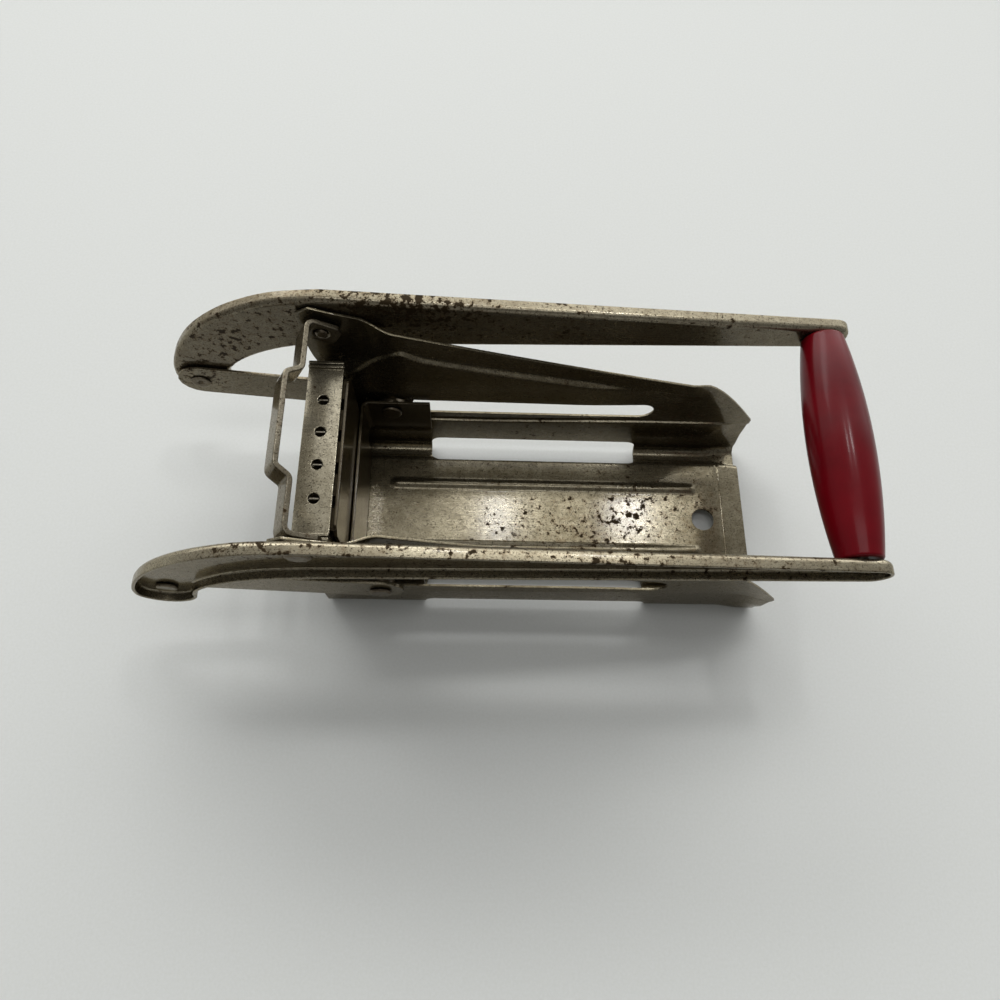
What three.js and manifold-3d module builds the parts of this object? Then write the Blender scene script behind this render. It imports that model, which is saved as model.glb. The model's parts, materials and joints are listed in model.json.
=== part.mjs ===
// A french fry cutter of tin-plated pressed steel with a turned wooden handle.
// Millimetres, +Z up, +X from the cutting grid towards the handle, +Y to the far side.
// The origin lies on the table, midway along the cutter and midway between its walls.
// Places below are measured from the lever's pivot in X. The lever is modelled pressed down,
// with the pusher against the grid.
import * as THREE from "three";
import { mergeVertices } from "three/addons/utils/BufferGeometryUtils.js";
import Module from "manifold-3d";

const wasm = await Module();
wasm.setup();

// Clearances
const clearance = 0.3; // between pieces that rest on or run in each other
const overrun = 4; // how far a cutting tool passes a surface
const tiny = 0.1; // least height of a row of facets where a pressed panel runs out to a point
const weld = 0.00001; // points closer than this are one point

// Cutting grid: five cells each way
const cellCount = 5;
const cellPitch = 12.5;
const gridDepth = 12.6;
const gridSheet = 1;
const gridSideThickness = 2.8;
const gridLipHeight = 1.2; // the folded sides stand this far above the top strip
const bladeThickness = 0.6;
const bladeDepth = 10;
const bladeBevel = 1.6; // length of the ground cutting edge
const tabWidth = 3.2;
const tabHoleDiameter = 3.9;

// Pressed frame
const frameSheet = 1;
const guideGap = 3.05; // between the grid's sides and the walls
const footDepth = 6.8; // floor's upper face above the table
const trayHalfWidth = 25; // flat of the floor, to the start of the foot bead
const cornerRadius = 4.2; // foot bead to wall
const wallFront = 4.5; // ahead of the pivot
const rearEdge = 172.9; // behind the pivot
const wingReach = 0.6; // the wings reach past the rear edge of the floor
const lipLength = 9.8; // bent-down strip at the rear of the floor
const lipDrop = 1.4;
const lowerStep = 1.1; // the wall below the joggle stands in by this much
const joggleHeight = 23.3;
const joggleWidth = 1.2;
const headStep = 3; // the pivot head stands out by this much
const upperStep = 1.3; // the strip along the wall's upper edge stands in by this much
const headLead = 3.7; // the head reaches ahead of the wall's front edge
const headRear = 14.3; // rear end of the head, behind the pivot
const headBlend = 7.2; // length of the step from the head to the upper strip
const headAbovePivot = 9.2; // upper front corner of the head
const headCornerSetback = 4.8;
const headBelowPivot = 28.9; // lower end of the head
const stripWidthFront = 13.2; // upper strip behind the head
const stripWidthRear = 8.9;
const embossWidth = 2.2;
const panelLean = 2.5; // the wall leans in by this much between the joggle and the embossed line
const panelLeanRun = 45; // the lean dies out over this length ahead of the wing
const tailHeight = 56.1; // upper edge where the wing starts
const tailStart = 145.5;
const tailSag = 1.5;
const wingTipRise = 1.8; // wing tip above the joggle

// Openings in the frame
const slotHeight = 11;
const slotRearStop = 122.8; // last place of the pin's centre
const footCutStart = 35.5;
const footCutEnd = 126.9;
const footCutRadius = 4;
const footCutRise = 0.5; // above the floor's upper face
const hangHoleDiameter = 9.6;
const hangHoleSetback = 18.5; // from the rear edge

// Pressed ribs
const floorRibOffset = 14.2;
const floorRibWidth = 3.6;
const floorRibHeight = 1.1;
const floorRibSides = 20;
const floorRibFrontGap = 22.7; // from the wall's front edge
const floorRibRearGap = 20.1; // from the floor's rear edge
const guideRibWidth = 4;
const guideRibSides = 12;
const guideRibPlace = 2.6; // behind the pivot
const guideRibInset = 6; // ends inside the flat part of the wall

// Lever: two channel arms, joined by the handle
const pivotHeight = 85.5;
const pivotRivetDiameter = 5;
const pivotNeckDiameter = 3; // in the bail's ear
const pivotHeadDiameter = 9;
const pivotTailDiameter = 4.4;
const rivetHeadHeight = 1.2;
const armGap = 0.6; // head to arm
const armSheet = 1.2;
const flangeDepth = 4.8;
const bendRadius = 2.2;
const armTopRise = 12.5; // upper edge above the pivot, at the pivot
const armTopFall = 7.6; // upper edge drops by this much along the arm
const armBottomDrop = 15; // lower edge below the pivot, at the pivot
const armBottomRise = 8; // lower edge climbs by this much along the arm
const armReach = 187.6; // rear end, behind the pivot
const tipReach = 53.9; // tip rivet ahead of the pivot
const tipDrop = 39.9; // tip rivet below the pivot
const tipRadius = 10.5;
const tipRivetDiameter = 4.4;
const tipHeadDiameter = 7.8;
const tipTailDiameter = 7.4;
const rivetTailHeight = 0.5;
const rivetTailGap = 0.8; // to the wall that the tail passes as the lever lifts
const handleSetback = 9.6; // handle's axis ahead of the arms' rear end
const handleDrop = 0.9; // handle's axis below the pivot
const handleDiameter = 21.6;
const handleEndDiameter = 14.4;
const handleEndRound = 1;
const gripSides = 22;
const rodDiameter = 5;
const rodHeadDiameter = 7.6;

// Links
const linkThickness = 1.4;
const linkWidth = 17.4;

// Pusher
const pusherSheet = 1.2;
const pusherGap = 0.7; // behind the grid
const pusherPinReach = 20.3; // pin behind the pivot
const pusherPinHeight = 35.5; // above the table
const pusherPinNeck = 5;
const pusherPinHead = 8.2;
const bracketLength = 27.5;
const bracketTopAbovePin = 6.3;
const bracketBottomBelowPin = 15;
const bracketBend = 1.8;
const bracketGap = 0.9; // bracket to the lower wall
const webHalfWidth = 27;
const faceMargin = 0.65; // plate inside the grid's opening
const faceCorner = 3;
const studGap = 1.7; // stud to blade
const studSetback = 1.3; // stud ends behind the grid's front face
const studDraft = 0.5;

// Retaining bail
const bailThickness = 1.9;
const bailWidth = 10;
const bailStandoff = 6.3; // bar's middle line from the pivot
const bailBump = 5.1; // the middle of the bar stands off by this much more
const bailBumpHalf = 16.4;
const bailBumpRun = 3.1;
const bailBend = 1.6;
const bailJogBend = 1.2;
const bailBossDiameter = 7.2;
const bailBossHeight = 0.9;
const bailDimpleDiameter = 5.9;
const bailDimpleDraft = 0.4;
const bailAngle = 28; // degrees, as the bail stands at rest
const earCorner = 2.2;

// Half-widths, from the grid outwards
const openingHalf = (cellCount * cellPitch) / 2;
const gridHalf = openingHalf + gridSideThickness;
const wallInner = gridHalf + guideGap;
const wallMid = wallInner + frameSheet / 2;
const wallOuter = wallInner + frameSheet;
const lowerMid = wallMid - lowerStep;
const lowerInner = wallInner - lowerStep;
const headInner = wallInner + headStep;
const headOuter = headInner + frameSheet;
const armInner = headOuter + armGap;
const armWebOuter = armInner + armSheet;
const bracketOuter = lowerInner - bracketGap;
const linkInner = wallOuter + rivetTailGap + rivetTailHeight + clearance;
const linkOuter = linkInner + linkThickness;

// Heights and lengths that follow
const handleReach = armReach - handleSetback;
const floorTop = footDepth;
const floorMid = floorTop - frameSheet / 2;
const gridBottom = floorTop + clearance;
const gridInnerBottom = gridBottom + gridSheet;
const gridInnerTop = gridInnerBottom + cellCount * cellPitch;
const gridTop = gridInnerTop + gridSheet;
const gridFront = -gridDepth / 2;
const gridRear = gridDepth / 2;
const faceFront = gridRear + pusherGap;
const bracketFront = faceFront + pusherSheet + clearance;
const slotRadius = slotHeight / 2;
const slotFrontStop = pusherPinReach - clearance;
const linkRun = tipReach + pusherPinReach;
const linkRise = pivotHeight - tipDrop - pusherPinHeight;
const linkLength = Math.hypot(linkRun, linkRise);
const linkTilt = Math.atan2(linkRise, linkRun);

// Facets
const arcSteps = 5;
const roundSteps = 16;
const holeSteps = 14;

// How a pressed step climbs: shares of its width and of its height
const stepShares = [[0, 0], [0.33, 0.26], [0.67, 0.74], [1, 1]];

// Shares of a rivet head's radius and of a wall's curve
const crownShare = 0.7;
const flatCrownShare = 0.88;
const wingCurve = 1.3; // power of the wing's upper edge

const tinPlate = { roughness: 0.42, metalness: 0.85 };
const materials = {
  frame: new THREE.MeshStandardMaterial({ color: 0x8d8373, ...tinPlate }),
  arm: new THREE.MeshStandardMaterial({ color: 0x958b7b, ...tinPlate }),
  link: new THREE.MeshStandardMaterial({ color: 0x9a8f80, ...tinPlate }),
  grid: new THREE.MeshStandardMaterial({ color: 0xa39b8c, ...tinPlate }),
  blade: new THREE.MeshStandardMaterial({ color: 0xaaa499, roughness: 0.34, metalness: 0.9 }),
  pusher: new THREE.MeshStandardMaterial({ color: 0x7f7666, ...tinPlate }),
  rivet: new THREE.MeshStandardMaterial({ color: 0x77695a, roughness: 0.5, metalness: 0.8 }),
  wood: new THREE.MeshStandardMaterial({ color: 0x8e1222, roughness: 0.28, metalness: 0 }),
};

// Volume that a closed indexed surface holds, negative when its faces point inwards.
function signedVolume(position, index) {
  const [a, b, c] = [new THREE.Vector3(), new THREE.Vector3(), new THREE.Vector3()];
  let sum = 0;
  for (let i = 0; i < index.length; i += 3) {
    a.fromArray(position, 3 * index[i]);
    b.fromArray(position, 3 * index[i + 1]);
    c.fromArray(position, 3 * index[i + 2]);
    sum += a.dot(b.cross(c));
  }
  return sum / 6;
}

// A closed geometry as a solid that can be joined and cut. A mirrored one is turned the right way out.
function solid(geometry) {
  const bare = geometry.clone();
  for (const name of ["normal", "uv"]) bare.deleteAttribute(name);
  const merged = mergeVertices(bare, weld);
  const vertProperties = new Float32Array(merged.attributes.position.array);
  const triVerts = new Uint32Array(merged.index.array);
  if (signedVolume(vertProperties, triVerts) < 0) {
    for (let i = 0; i < triVerts.length; i += 3) {
      [triVerts[i + 1], triVerts[i + 2]] = [triVerts[i + 2], triVerts[i + 1]];
    }
  }
  return new wasm.Manifold(new wasm.Mesh({ numProp: 3, vertProperties, triVerts }));
}

const join = (first, ...others) => others.reduce((sum, one) => sum.add(one), first);
const cut = (first, ...others) => others.reduce((sum, one) => sum.subtract(one), first);

// A solid as a named mesh.
function piece(name, made, material) {
  const { numProp, vertProperties, triVerts } = made.getMesh();
  const position = new Float32Array((vertProperties.length / numProp) * 3);
  for (let i = 0; i < position.length / 3; i++) {
    for (let k = 0; k < 3; k++) position[3 * i + k] = vertProperties[numProp * i + k];
  }
  const geometry = new THREE.BufferGeometry();
  geometry.setAttribute("position", new THREE.BufferAttribute(position, 3));
  geometry.setIndex(new THREE.BufferAttribute(new Uint32Array(triVerts), 1));
  geometry.computeVertexNormals();
  const mesh = new THREE.Mesh(geometry, material);
  mesh.name = name;
  return mesh;
}

const shapeOf = (points) => new THREE.Shape(points.map(([a, b]) => new THREE.Vector2(a, b)));

// Points of an arc from one angle to another, in degrees.
function arc(centreA, centreB, radius, from, to, steps = arcSteps) {
  const points = [];
  for (let i = 0; i <= steps; i++) {
    const angle = THREE.MathUtils.degToRad(from + ((to - from) * i) / steps);
    points.push([centreA + radius * Math.cos(angle), centreB + radius * Math.sin(angle)]);
  }
  return points;
}

// An outline in X and Z, swept along Y from one place to another.
function alongY(points, from, to) {
  const geometry = new THREE.ExtrudeGeometry(shapeOf(points), {
    depth: Math.abs(to - from),
    bevelEnabled: false,
  });
  return solid(geometry.rotateX(Math.PI / 2).translate(0, Math.max(from, to), 0));
}

// An outline in X and Y, swept upwards.
function alongZ(points, from, to) {
  const geometry = new THREE.ExtrudeGeometry(shapeOf(points), {
    depth: to - from,
    bevelEnabled: false,
  });
  return solid(geometry.translate(0, 0, from));
}

// An outline in Y and Z, swept along X.
function alongX(points, from, to) {
  const geometry = new THREE.ExtrudeGeometry(shapeOf(points), {
    depth: to - from,
    bevelEnabled: false,
  });
  const turn = new THREE.Matrix4().makeBasis(
    new THREE.Vector3(0, 1, 0),
    new THREE.Vector3(0, 0, 1),
    new THREE.Vector3(1, 0, 0),
  );
  return solid(geometry.applyMatrix4(turn).translate(from, 0, 0));
}

const rectangle = (a0, a1, b0, b1) => [
  [a0, b0],
  [a1, b0],
  [a1, b1],
  [a0, b1],
];

// A rectangle with four rounded corners.
function roundedRectangle(a0, a1, b0, b1, radius) {
  return [
    ...arc(a1 - radius, b0 + radius, radius, -90, 0),
    ...arc(a1 - radius, b1 - radius, radius, 0, 90),
    ...arc(a0 + radius, b1 - radius, radius, 90, 180),
    ...arc(a0 + radius, b0 + radius, radius, 180, 270),
  ];
}

// A slot outline with round ends, between two centres on one height.
function stadium(a0, a1, b, radius) {
  return [
    ...arc(a1, b, radius, -90, 90, 2 * arcSteps - 2),
    ...arc(a0, b, radius, 90, 270, 2 * arcSteps - 2),
  ];
}

const circle = (a, b, radius, steps = roundSteps) =>
  arc(a, b, radius, 0, 360 - 360 / steps, steps - 1);

// A turned piece on an axis along Y: pairs of radius and place along the axis.
function turnedAlongY(profile, steps = roundSteps) {
  const points = profile.map(([radius, place]) => new THREE.Vector2(radius, place));
  return solid(new THREE.LatheGeometry(points, steps));
}

// A box between two places along each axis.
function bar(x0, x1, y0, y1, z0, z1) {
  const box = new THREE.BoxGeometry(x1 - x0, y1 - y0, z1 - z0);
  return solid(box.translate((x0 + x1) / 2, (y0 + y1) / 2, (z0 + z1) / 2));
}

const mix = THREE.MathUtils.lerp;
const ease = (value, from, to) => THREE.MathUtils.smoothstep(value, from, to);

// Pressed frame

// Upper edge of a wall at a place along the frame: a long slope, then the curve of the wing.
function wallTop(x) {
  const slopeStart = headCornerSetback - wallFront - headLead;
  const along = (x - slopeStart) / (tailStart - slopeStart);
  const front = pivotHeight + headAbovePivot;
  if (along <= 1) {
    return mix(front, tailHeight, along) - tailSag * 4 * along * (1 - along);
  }
  const wing = (x - tailStart) / (rearEdge + wingReach - tailStart);
  return mix(tailHeight, joggleHeight + joggleWidth / 2 + wingTipRise, wing ** wingCurve);
}

// Height of the embossed line, which follows the upper edge and dips under the head.
function embossLine(x) {
  const strip = mix(
    stripWidthFront,
    stripWidthRear,
    ease(x, headRear + headBlend, tailStart),
  );
  const joggleTop = joggleHeight + joggleWidth / 2;
  const edge = wallTop(x) - joggleTop;
  const taper = Math.min(strip / edge, 1 - stripWidthRear / (tailHeight - joggleTop));
  const behind = joggleTop + edge * (1 - taper);
  const under = pivotHeight - headBelowPivot;
  const rise = ease(x, headRear - headBlend / 2, headRear + headBlend + 2 * embossWidth);
  return mix(under, behind, rise);
}

// How far the part of the wall above the embossed line stands out.
function panelOffset(x) {
  const head = ease(x, headRear, headRear + headBlend);
  const fade = ease(x, tailStart - headBlend, tailStart);
  return mix(headStep, -upperStep * (1 - fade), head);
}

// How far the wall leans in at the embossed line, between the head and the wing.
function leanOffset(x) {
  const end = tailStart - headBlend;
  const start = ease(x, headRear, headRear + 2 * headBlend);
  return panelLean * start * (1 - ease(x, end - panelLeanRun, end));
}

// Middle line of half the cross-section at one place along the frame, from the centre of the
// floor to the upper edge. Each entry is y, z, the outward normal and how far the row's ends
// lie ahead of the wall's front and behind the floor's rear.
function halfSection(x) {
  const rows = [];
  const lip = Math.max(0, (x - rearEdge + lipLength) / lipLength) * lipDrop;
  const floor = floorMid - lip;
  const bottom = frameSheet / 2;
  const radius = (floor - bottom) / 2;
  rows.push([0, floor, 0, -1, 0, 0]);
  for (let i = 0; i <= 3; i++) {
    const turn = (i * Math.PI) / 6;
    const [ny, nz] = [-Math.sin(turn), -Math.cos(turn)];
    rows.push([trayHalfWidth - radius * ny, floor - radius - radius * nz, ny, nz, 0, 0]);
  }
  for (let i = 2; i >= 0; i--) {
    const turn = (i * Math.PI) / 6;
    const [ny, nz] = [-Math.sin(turn), -Math.cos(turn)];
    rows.push([trayHalfWidth + 2 * radius + radius * ny, bottom + radius + radius * nz, ny, nz, 0, 0]);
  }
  for (let i = 0; i <= 4; i++) {
    const turn = (i * Math.PI) / 8;
    const [ny, nz] = [Math.sin(turn), -Math.cos(turn)];
    const [y, z] = [lowerMid - cornerRadius, bottom + cornerRadius];
    rows.push([y + cornerRadius * ny, z + cornerRadius * nz, ny, nz, 0, 0]);
  }
  const line = embossLine(x);
  const top = wallTop(x);
  const panel = panelOffset(x);
  for (const [across, up] of stepShares) {
    rows.push([lowerMid + lowerStep * up, joggleHeight + joggleWidth * (across - 1 / 2), 1, 0, 0, 1]);
  }
  const room = Math.max(tiny, Math.min(embossWidth, (top - line) / 2));
  for (const [across, up] of stepShares) {
    const y = wallMid + mix(-leanOffset(x), panel, up);
    rows.push([y, line + room * across, 1, 0, 0, 1]);
  }
  const height = top - line - room;
  const lobeShares = [[0.45, 0.9], [0.92, 1]];
  for (const [share, lead] of lobeShares) {
    const z = line + room + height * share;
    rows.push([wallMid + panel, z, 1, 0, lead, 1]);
  }
  const corner = (headLead - headCornerSetback) / headLead;
  rows.push([wallMid + panel, top, 1, 0, corner, 1]);
  return rows;
}

// Places along the frame where the sheet has a row of points, by stretches.
function stations() {
  const [stripStart, stripEnd] = [headRear + headBlend, tailStart - headBlend];
  const stretches = [
    { from: -wallFront, to: headRear, shares: [0, 0.3, 0.65] },
    { from: headRear, to: stripStart, shares: [0, 0.25, 0.5, 0.75, 1] },
    { from: stripStart, to: stripStart + headBlend, shares: [0.35, 1] },
    { from: stripStart + headBlend, to: stripEnd, shares: [0.2, 0.45, 0.7, 0.85] },
    { from: stripEnd, to: tailStart, shares: [0, 0.5, 1] },
    { from: tailStart, to: rearEdge - lipLength, shares: [0.3, 1] },
    { from: rearEdge - lipLength, to: rearEdge, shares: [0.5, 1] },
  ];
  return stretches.flatMap(({ from, to, shares }) => shares.map((share) => mix(from, to, share)));
}

// The frame's sheet before it is pierced: a folded section, carried along the frame.
function foldedSheet() {
  const columns = stations().map((x) => {
    const toFront = 1 - ease(x, -wallFront, wallFront);
    const toRear = ease(x, tailStart, rearEdge);
    const half = halfSection(x + wingReach * toRear).map(([y, z, ny, nz, lead, reach]) => {
      const place = x - headLead * lead * toFront + wingReach * reach * toRear;
      const side = (sign) => [
        [place, sign * (y + (ny * frameSheet) / 2), z + (nz * frameSheet) / 2],
        [place, sign * (y - (ny * frameSheet) / 2), z - (nz * frameSheet) / 2],
      ];
      return [side(1), side(-1)];
    });
    const near = half.slice(1).reverse().map(([, mirrored]) => mirrored);
    return [...near, ...half.map(([straight]) => straight)];
  });
  return solid(thickSheet(columns));
}

// A closed sheet from columns of point pairs: one point of each pair on either face.
function thickSheet(columns) {
  const [count, rows] = [columns.length, columns[0].length];
  const position = new Float32Array(columns.flat(3));
  const index = [];
  const at = (column, row, face) => 2 * (column * rows + row) + face;
  const quad = (a, b, c, d) => index.push(a, b, c, a, c, d);
  for (let i = 0; i + 1 < count; i++) {
    for (let j = 0; j + 1 < rows; j++) {
      quad(at(i, j, 0), at(i + 1, j, 0), at(i + 1, j + 1, 0), at(i, j + 1, 0));
      quad(at(i, j, 1), at(i, j + 1, 1), at(i + 1, j + 1, 1), at(i + 1, j, 1));
    }
    quad(at(i, 0, 0), at(i, 0, 1), at(i + 1, 0, 1), at(i + 1, 0, 0));
    quad(at(i, rows - 1, 0), at(i + 1, rows - 1, 0), at(i + 1, rows - 1, 1), at(i, rows - 1, 1));
  }
  for (let j = 0; j + 1 < rows; j++) {
    quad(at(0, j, 0), at(0, j + 1, 0), at(0, j + 1, 1), at(0, j, 1));
    quad(at(count - 1, j, 0), at(count - 1, j, 1), at(count - 1, j + 1, 1), at(count - 1, j + 1, 0));
  }
  const geometry = new THREE.BufferGeometry();
  geometry.setAttribute("position", new THREE.BufferAttribute(position, 3));
  geometry.setIndex(index);
  return geometry;
}

// A rib pressed up from a sheet lies along X, from one end to the other, and rises by its height
// above the upper face. A deep rib's groove has upright sides below its round crest.
function pressedRib(x0, x1, width, height, sides) {
  const radius = (width ** 2 / 4 + height ** 2) / (2 * height);
  const axis = frameSheet / 2 + height - radius;
  const capsule = (r) => {
    const geometry = new THREE.CapsuleGeometry(r, x1 - x0 - width, 3, sides);
    return geometry.rotateZ(Math.PI / 2).rotateX(Math.PI / sides).translate((x0 + x1) / 2, 0, axis);
  };
  const groove = [capsule(radius - frameSheet)];
  if (axis > 0) {
    const ends = [x0 + width / 2, x1 - width / 2];
    const wall = new THREE.ExtrudeGeometry(shapeOf(stadium(...ends, 0, radius - frameSheet)), {
      depth: axis + overrun,
      bevelEnabled: false,
    });
    groove.push(wall.translate(0, 0, -overrun));
  }
  return { crest: capsule(radius), groove };
}

// The frame with a rib pressed into it, placed by a matrix. Only the crest above the middle of
// the sheet is kept.
function withRib(frame, x0, x1, width, height, sides, placed) {
  const { crest, groove } = pressedRib(x0, x1, width, height, sides);
  const above = new THREE.BoxGeometry(x1 - x0 + 2 * overrun, width + 2 * overrun, height + overrun);
  above.translate((x0 + x1) / 2, 0, (height + overrun) / 2);
  const kept = solid(crest.applyMatrix4(placed)).intersect(solid(above.applyMatrix4(placed)));
  return cut(join(frame, kept), ...groove.map((one) => solid(one.applyMatrix4(placed))));
}

function makeFrame() {
  let frame = foldedSheet();
  for (const side of [1, -1]) {
    const floorRib = new THREE.Matrix4().makeTranslation(0, side * floorRibOffset, floorMid);
    frame = withRib(
      frame,
      floorRibFrontGap - wallFront,
      rearEdge - floorRibRearGap,
      floorRibWidth,
      floorRibHeight,
      floorRibSides,
      floorRib,
    );
    const upright = new THREE.Matrix4().makeBasis(
      new THREE.Vector3(0, 0, 1),
      new THREE.Vector3(side, 0, 0),
      new THREE.Vector3(0, -side, 0),
    );
    upright.setPosition(guideRibPlace, side * wallMid, 0);
    const [low, high] = guideRange();
    frame = withRib(frame, low, high, guideRibWidth, guideGap - 2 * clearance, guideRibSides, upright);
    const [inside, outside] = [side * (lowerInner - overrun), side * (headOuter + overrun)];
    frame = cut(
      frame,
      alongY(stadium(slotFrontStop, slotRearStop, pusherPinHeight, slotRadius), inside, outside),
      alongY(circle(0, pivotHeight, pivotRivetDiameter / 2 + clearance), inside, outside),
      footCut(side),
    );
  }
  const hole = circle(rearEdge - hangHoleSetback, 0, hangHoleDiameter / 2);
  return piece("frame", cut(frame, alongZ(hole, -overrun, floorTop + overrun)), materials.frame);
}

// Lower and upper end of the upright rib that holds the grid from sliding forwards.
const guideRange = () => [
  joggleHeight + guideRibInset,
  pivotHeight - headBelowPivot - guideRibInset / 2,
];

// The long opening along a foot bead: rounded in plan beside the floor and in side view up the wall.
function footCut(side) {
  const inner = trayHalfWidth + frameSheet;
  const outer = wallOuter + overrun;
  const plan = roundedRectangle(footCutStart, footCutEnd, inner, outer + footCutRadius, footCutRadius);
  const height = floorTop + footCutRise;
  const view = roundedRectangle(footCutStart, footCutEnd, -overrun - footCutRadius, height, footCutRadius);
  const placed = plan.map(([x, y]) => [x, side * y]);
  return alongZ(placed, -overrun, height + overrun).intersect(
    alongY(view, side * (inner - overrun), side * (outer + footCutRadius)),
  );
}

// Cutting grid

function makeGridFrame() {
  const { grid } = materials;
  const outline = rectangle(-gridHalf, gridHalf, gridBottom, gridTop + gridLipHeight);
  let made = alongX(outline, gridFront, gridRear);
  const opening = rectangle(-openingHalf, openingHalf, gridInnerBottom, gridInnerTop);
  const above = rectangle(-openingHalf, openingHalf, gridTop, gridTop + gridLipHeight + overrun);
  made = cut(
    made,
    alongX(opening, gridFront - overrun, gridRear + overrun),
    alongX(above, gridFront - overrun, gridRear + overrun),
  );
  const [low, high] = guideRange();
  for (const side of [1, -1]) {
    const [y0, y1] = [side * gridHalf, side * (wallInner - clearance)].sort((a, b) => a - b);
    const guide = bar(gridRear - gridSheet, gridRear, y0 - gridSheet, y1 + gridSheet, low, high);
    const fold = side * (openingHalf + gridSideThickness / 2);
    const groove = rectangle(
      fold - gridLipHeight / 8,
      fold + gridLipHeight / 8,
      gridTop - gridLipHeight,
      gridTop + gridLipHeight + overrun,
    );
    const trimmed = guide.intersect(
      bar(gridFront, gridRear + overrun, -wallInner + clearance, wallInner - clearance, low, high),
    );
    const kept = cut(trimmed, bar(gridFront, gridRear + overrun, -openingHalf, openingHalf, low, high));
    made = cut(join(made, kept), alongX(groove, gridFront - overrun, gridRear + overrun));
  }
  for (const place of bladePlaces()) {
    const radius = tabHoleDiameter / 2;
    made = cut(
      made,
      alongZ(circle(0, place, radius, holeSteps), gridBottom - overrun, gridTop + overrun),
      alongY(
        circle(0, gridInnerBottom + openingHalf + place, radius, holeSteps),
        -gridHalf - overrun,
        gridHalf + overrun,
      ),
    );
  }
  return piece("grid_frame", made, grid);
}

// Places of the blades across the opening, from its middle.
function bladePlaces() {
  const places = [];
  for (let i = 1; i < cellCount; i++) places.push(cellPitch * i - openingHalf);
  return places;
}

// One blade: ground to an edge on the side that the potato meets, with a tab at each end and a
// notch to its middle for each crossing blade. Upright blades are notched from the front.
function bladeSolid(upright, place) {
  const edge = bladeDepth / 2;
  const half = bladeThickness / 2;
  const section = [
    [-edge, -half],
    [edge - bladeBevel, -half],
    [edge, -half / 4],
    [edge, half / 4],
    [edge - bladeBevel, half],
    [-edge, half],
  ];
  const reach = openingHalf - clearance;
  const tabReach = openingHalf + gridSheet - clearance;
  const tab = rectangle(-tabWidth / 2, tabWidth / 2, -half, half);
  const middle = gridInnerBottom + openingHalf;
  const notch = half + clearance;
  const [from, to] = upright ? [-edge - overrun, clearance / 2] : [-clearance / 2, edge + overrun];
  if (upright) {
    const moved = (points) => points.map(([x, y]) => [x, y + place]);
    let made = alongZ(moved(section), middle - reach, middle + reach);
    made = join(made, alongZ(moved(tab), middle - tabReach, middle + tabReach));
    for (const other of bladePlaces()) {
      const z = middle + other;
      made = cut(made, bar(from, to, place - overrun, place + overrun, z - notch, z + notch));
    }
    return made;
  }
  const moved = (points) => points.map(([x, z]) => [x, z + middle + place]);
  let made = alongY(moved(section), -reach, reach);
  made = join(made, alongY(moved(tab), -tabReach, tabReach));
  for (const other of bladePlaces()) {
    const z = middle + place;
    made = cut(made, bar(from, to, other - notch, other + notch, z - overrun, z + overrun));
  }
  return made;
}

function makeBlades() {
  return bladePlaces().flatMap((place, i) => [
    piece(`blade_upright_${i + 1}`, bladeSolid(true, place), materials.blade),
    piece(`blade_level_${i + 1}`, bladeSolid(false, place), materials.blade),
  ]);
}

// Lever

// Outline moved inwards by a distance, corner by corner. It runs anticlockwise. A sharp corner
// moves at most twice the distance.
function inset(points, distance) {
  const count = points.length;
  const leastCosine = 0.5;
  return points.map(([a, b], i) => {
    const [pa, pb] = points[(i + count - 1) % count];
    const [na, nb] = points[(i + 1) % count];
    const before = new THREE.Vector2(a - pa, b - pb).normalize();
    const after = new THREE.Vector2(na - a, nb - b).normalize();
    const normal = new THREE.Vector2(-before.y - after.y, before.x + after.x).normalize();
    const cosine = normal.dot(new THREE.Vector2(-before.y, before.x));
    const stretch = distance / Math.max(leastCosine, cosine);
    return [a + normal.x * stretch, b + normal.y * stretch];
  });
}

// Points along a smooth curve through a few given ones.
const smooth = (points, steps) =>
  new THREE.SplineCurve(points.map(([a, b]) => new THREE.Vector2(a, b)))
    .getSpacedPoints(steps)
    .map(({ x, y }) => [x, y]);

// Outline of an arm about the pivot: straight and tapered to the rear, and bent down in front.
function armOutline() {
  const topEnd = armTopRise - armTopFall;
  const bottomEnd = armBottomRise - armBottomDrop;
  const endRadius = (topEnd - bottomEnd) / 2;
  const rear = arc(armReach - endRadius, (topEnd + bottomEnd) / 2, endRadius, -90, 90, 6);
  // The bend's outer edge from the pivot to the tip, as shares of the tip's reach and drop.
  const outerShares = [
    [0, 1],
    [0.25, 0.955],
    [0.45, 0.86],
    [0.62, 0.73],
    [0.78, 0.55],
    [0.9, 0.34],
    [0.975, 0.14],
    [1, 0],
  ];
  // The inner edge, from the tip back to the arm's straight lower edge.
  const innerShares = [
    [1, 0],
    [0.95, 0.2],
    [0.84, 0.42],
    [0.68, 0.63],
    [0.48, 0.81],
    [0.26, 0.93],
    [0, 1],
  ];
  const placed = (shares, reach, top) =>
    shares.map(([along, up]) => [-reach * along, mix(-tipDrop, top, up)]);
  const outer = smooth(placed(outerShares, tipReach + tipRadius, armTopRise), 12);
  const inner = smooth(placed(innerShares, tipReach - tipRadius, -armBottomDrop), 9);
  const tip = arc(-tipReach, -tipDrop, tipRadius, 180, 360, 8);
  return [...inner.slice(1), ...rear, ...outer, ...tip.slice(1)];
}

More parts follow.
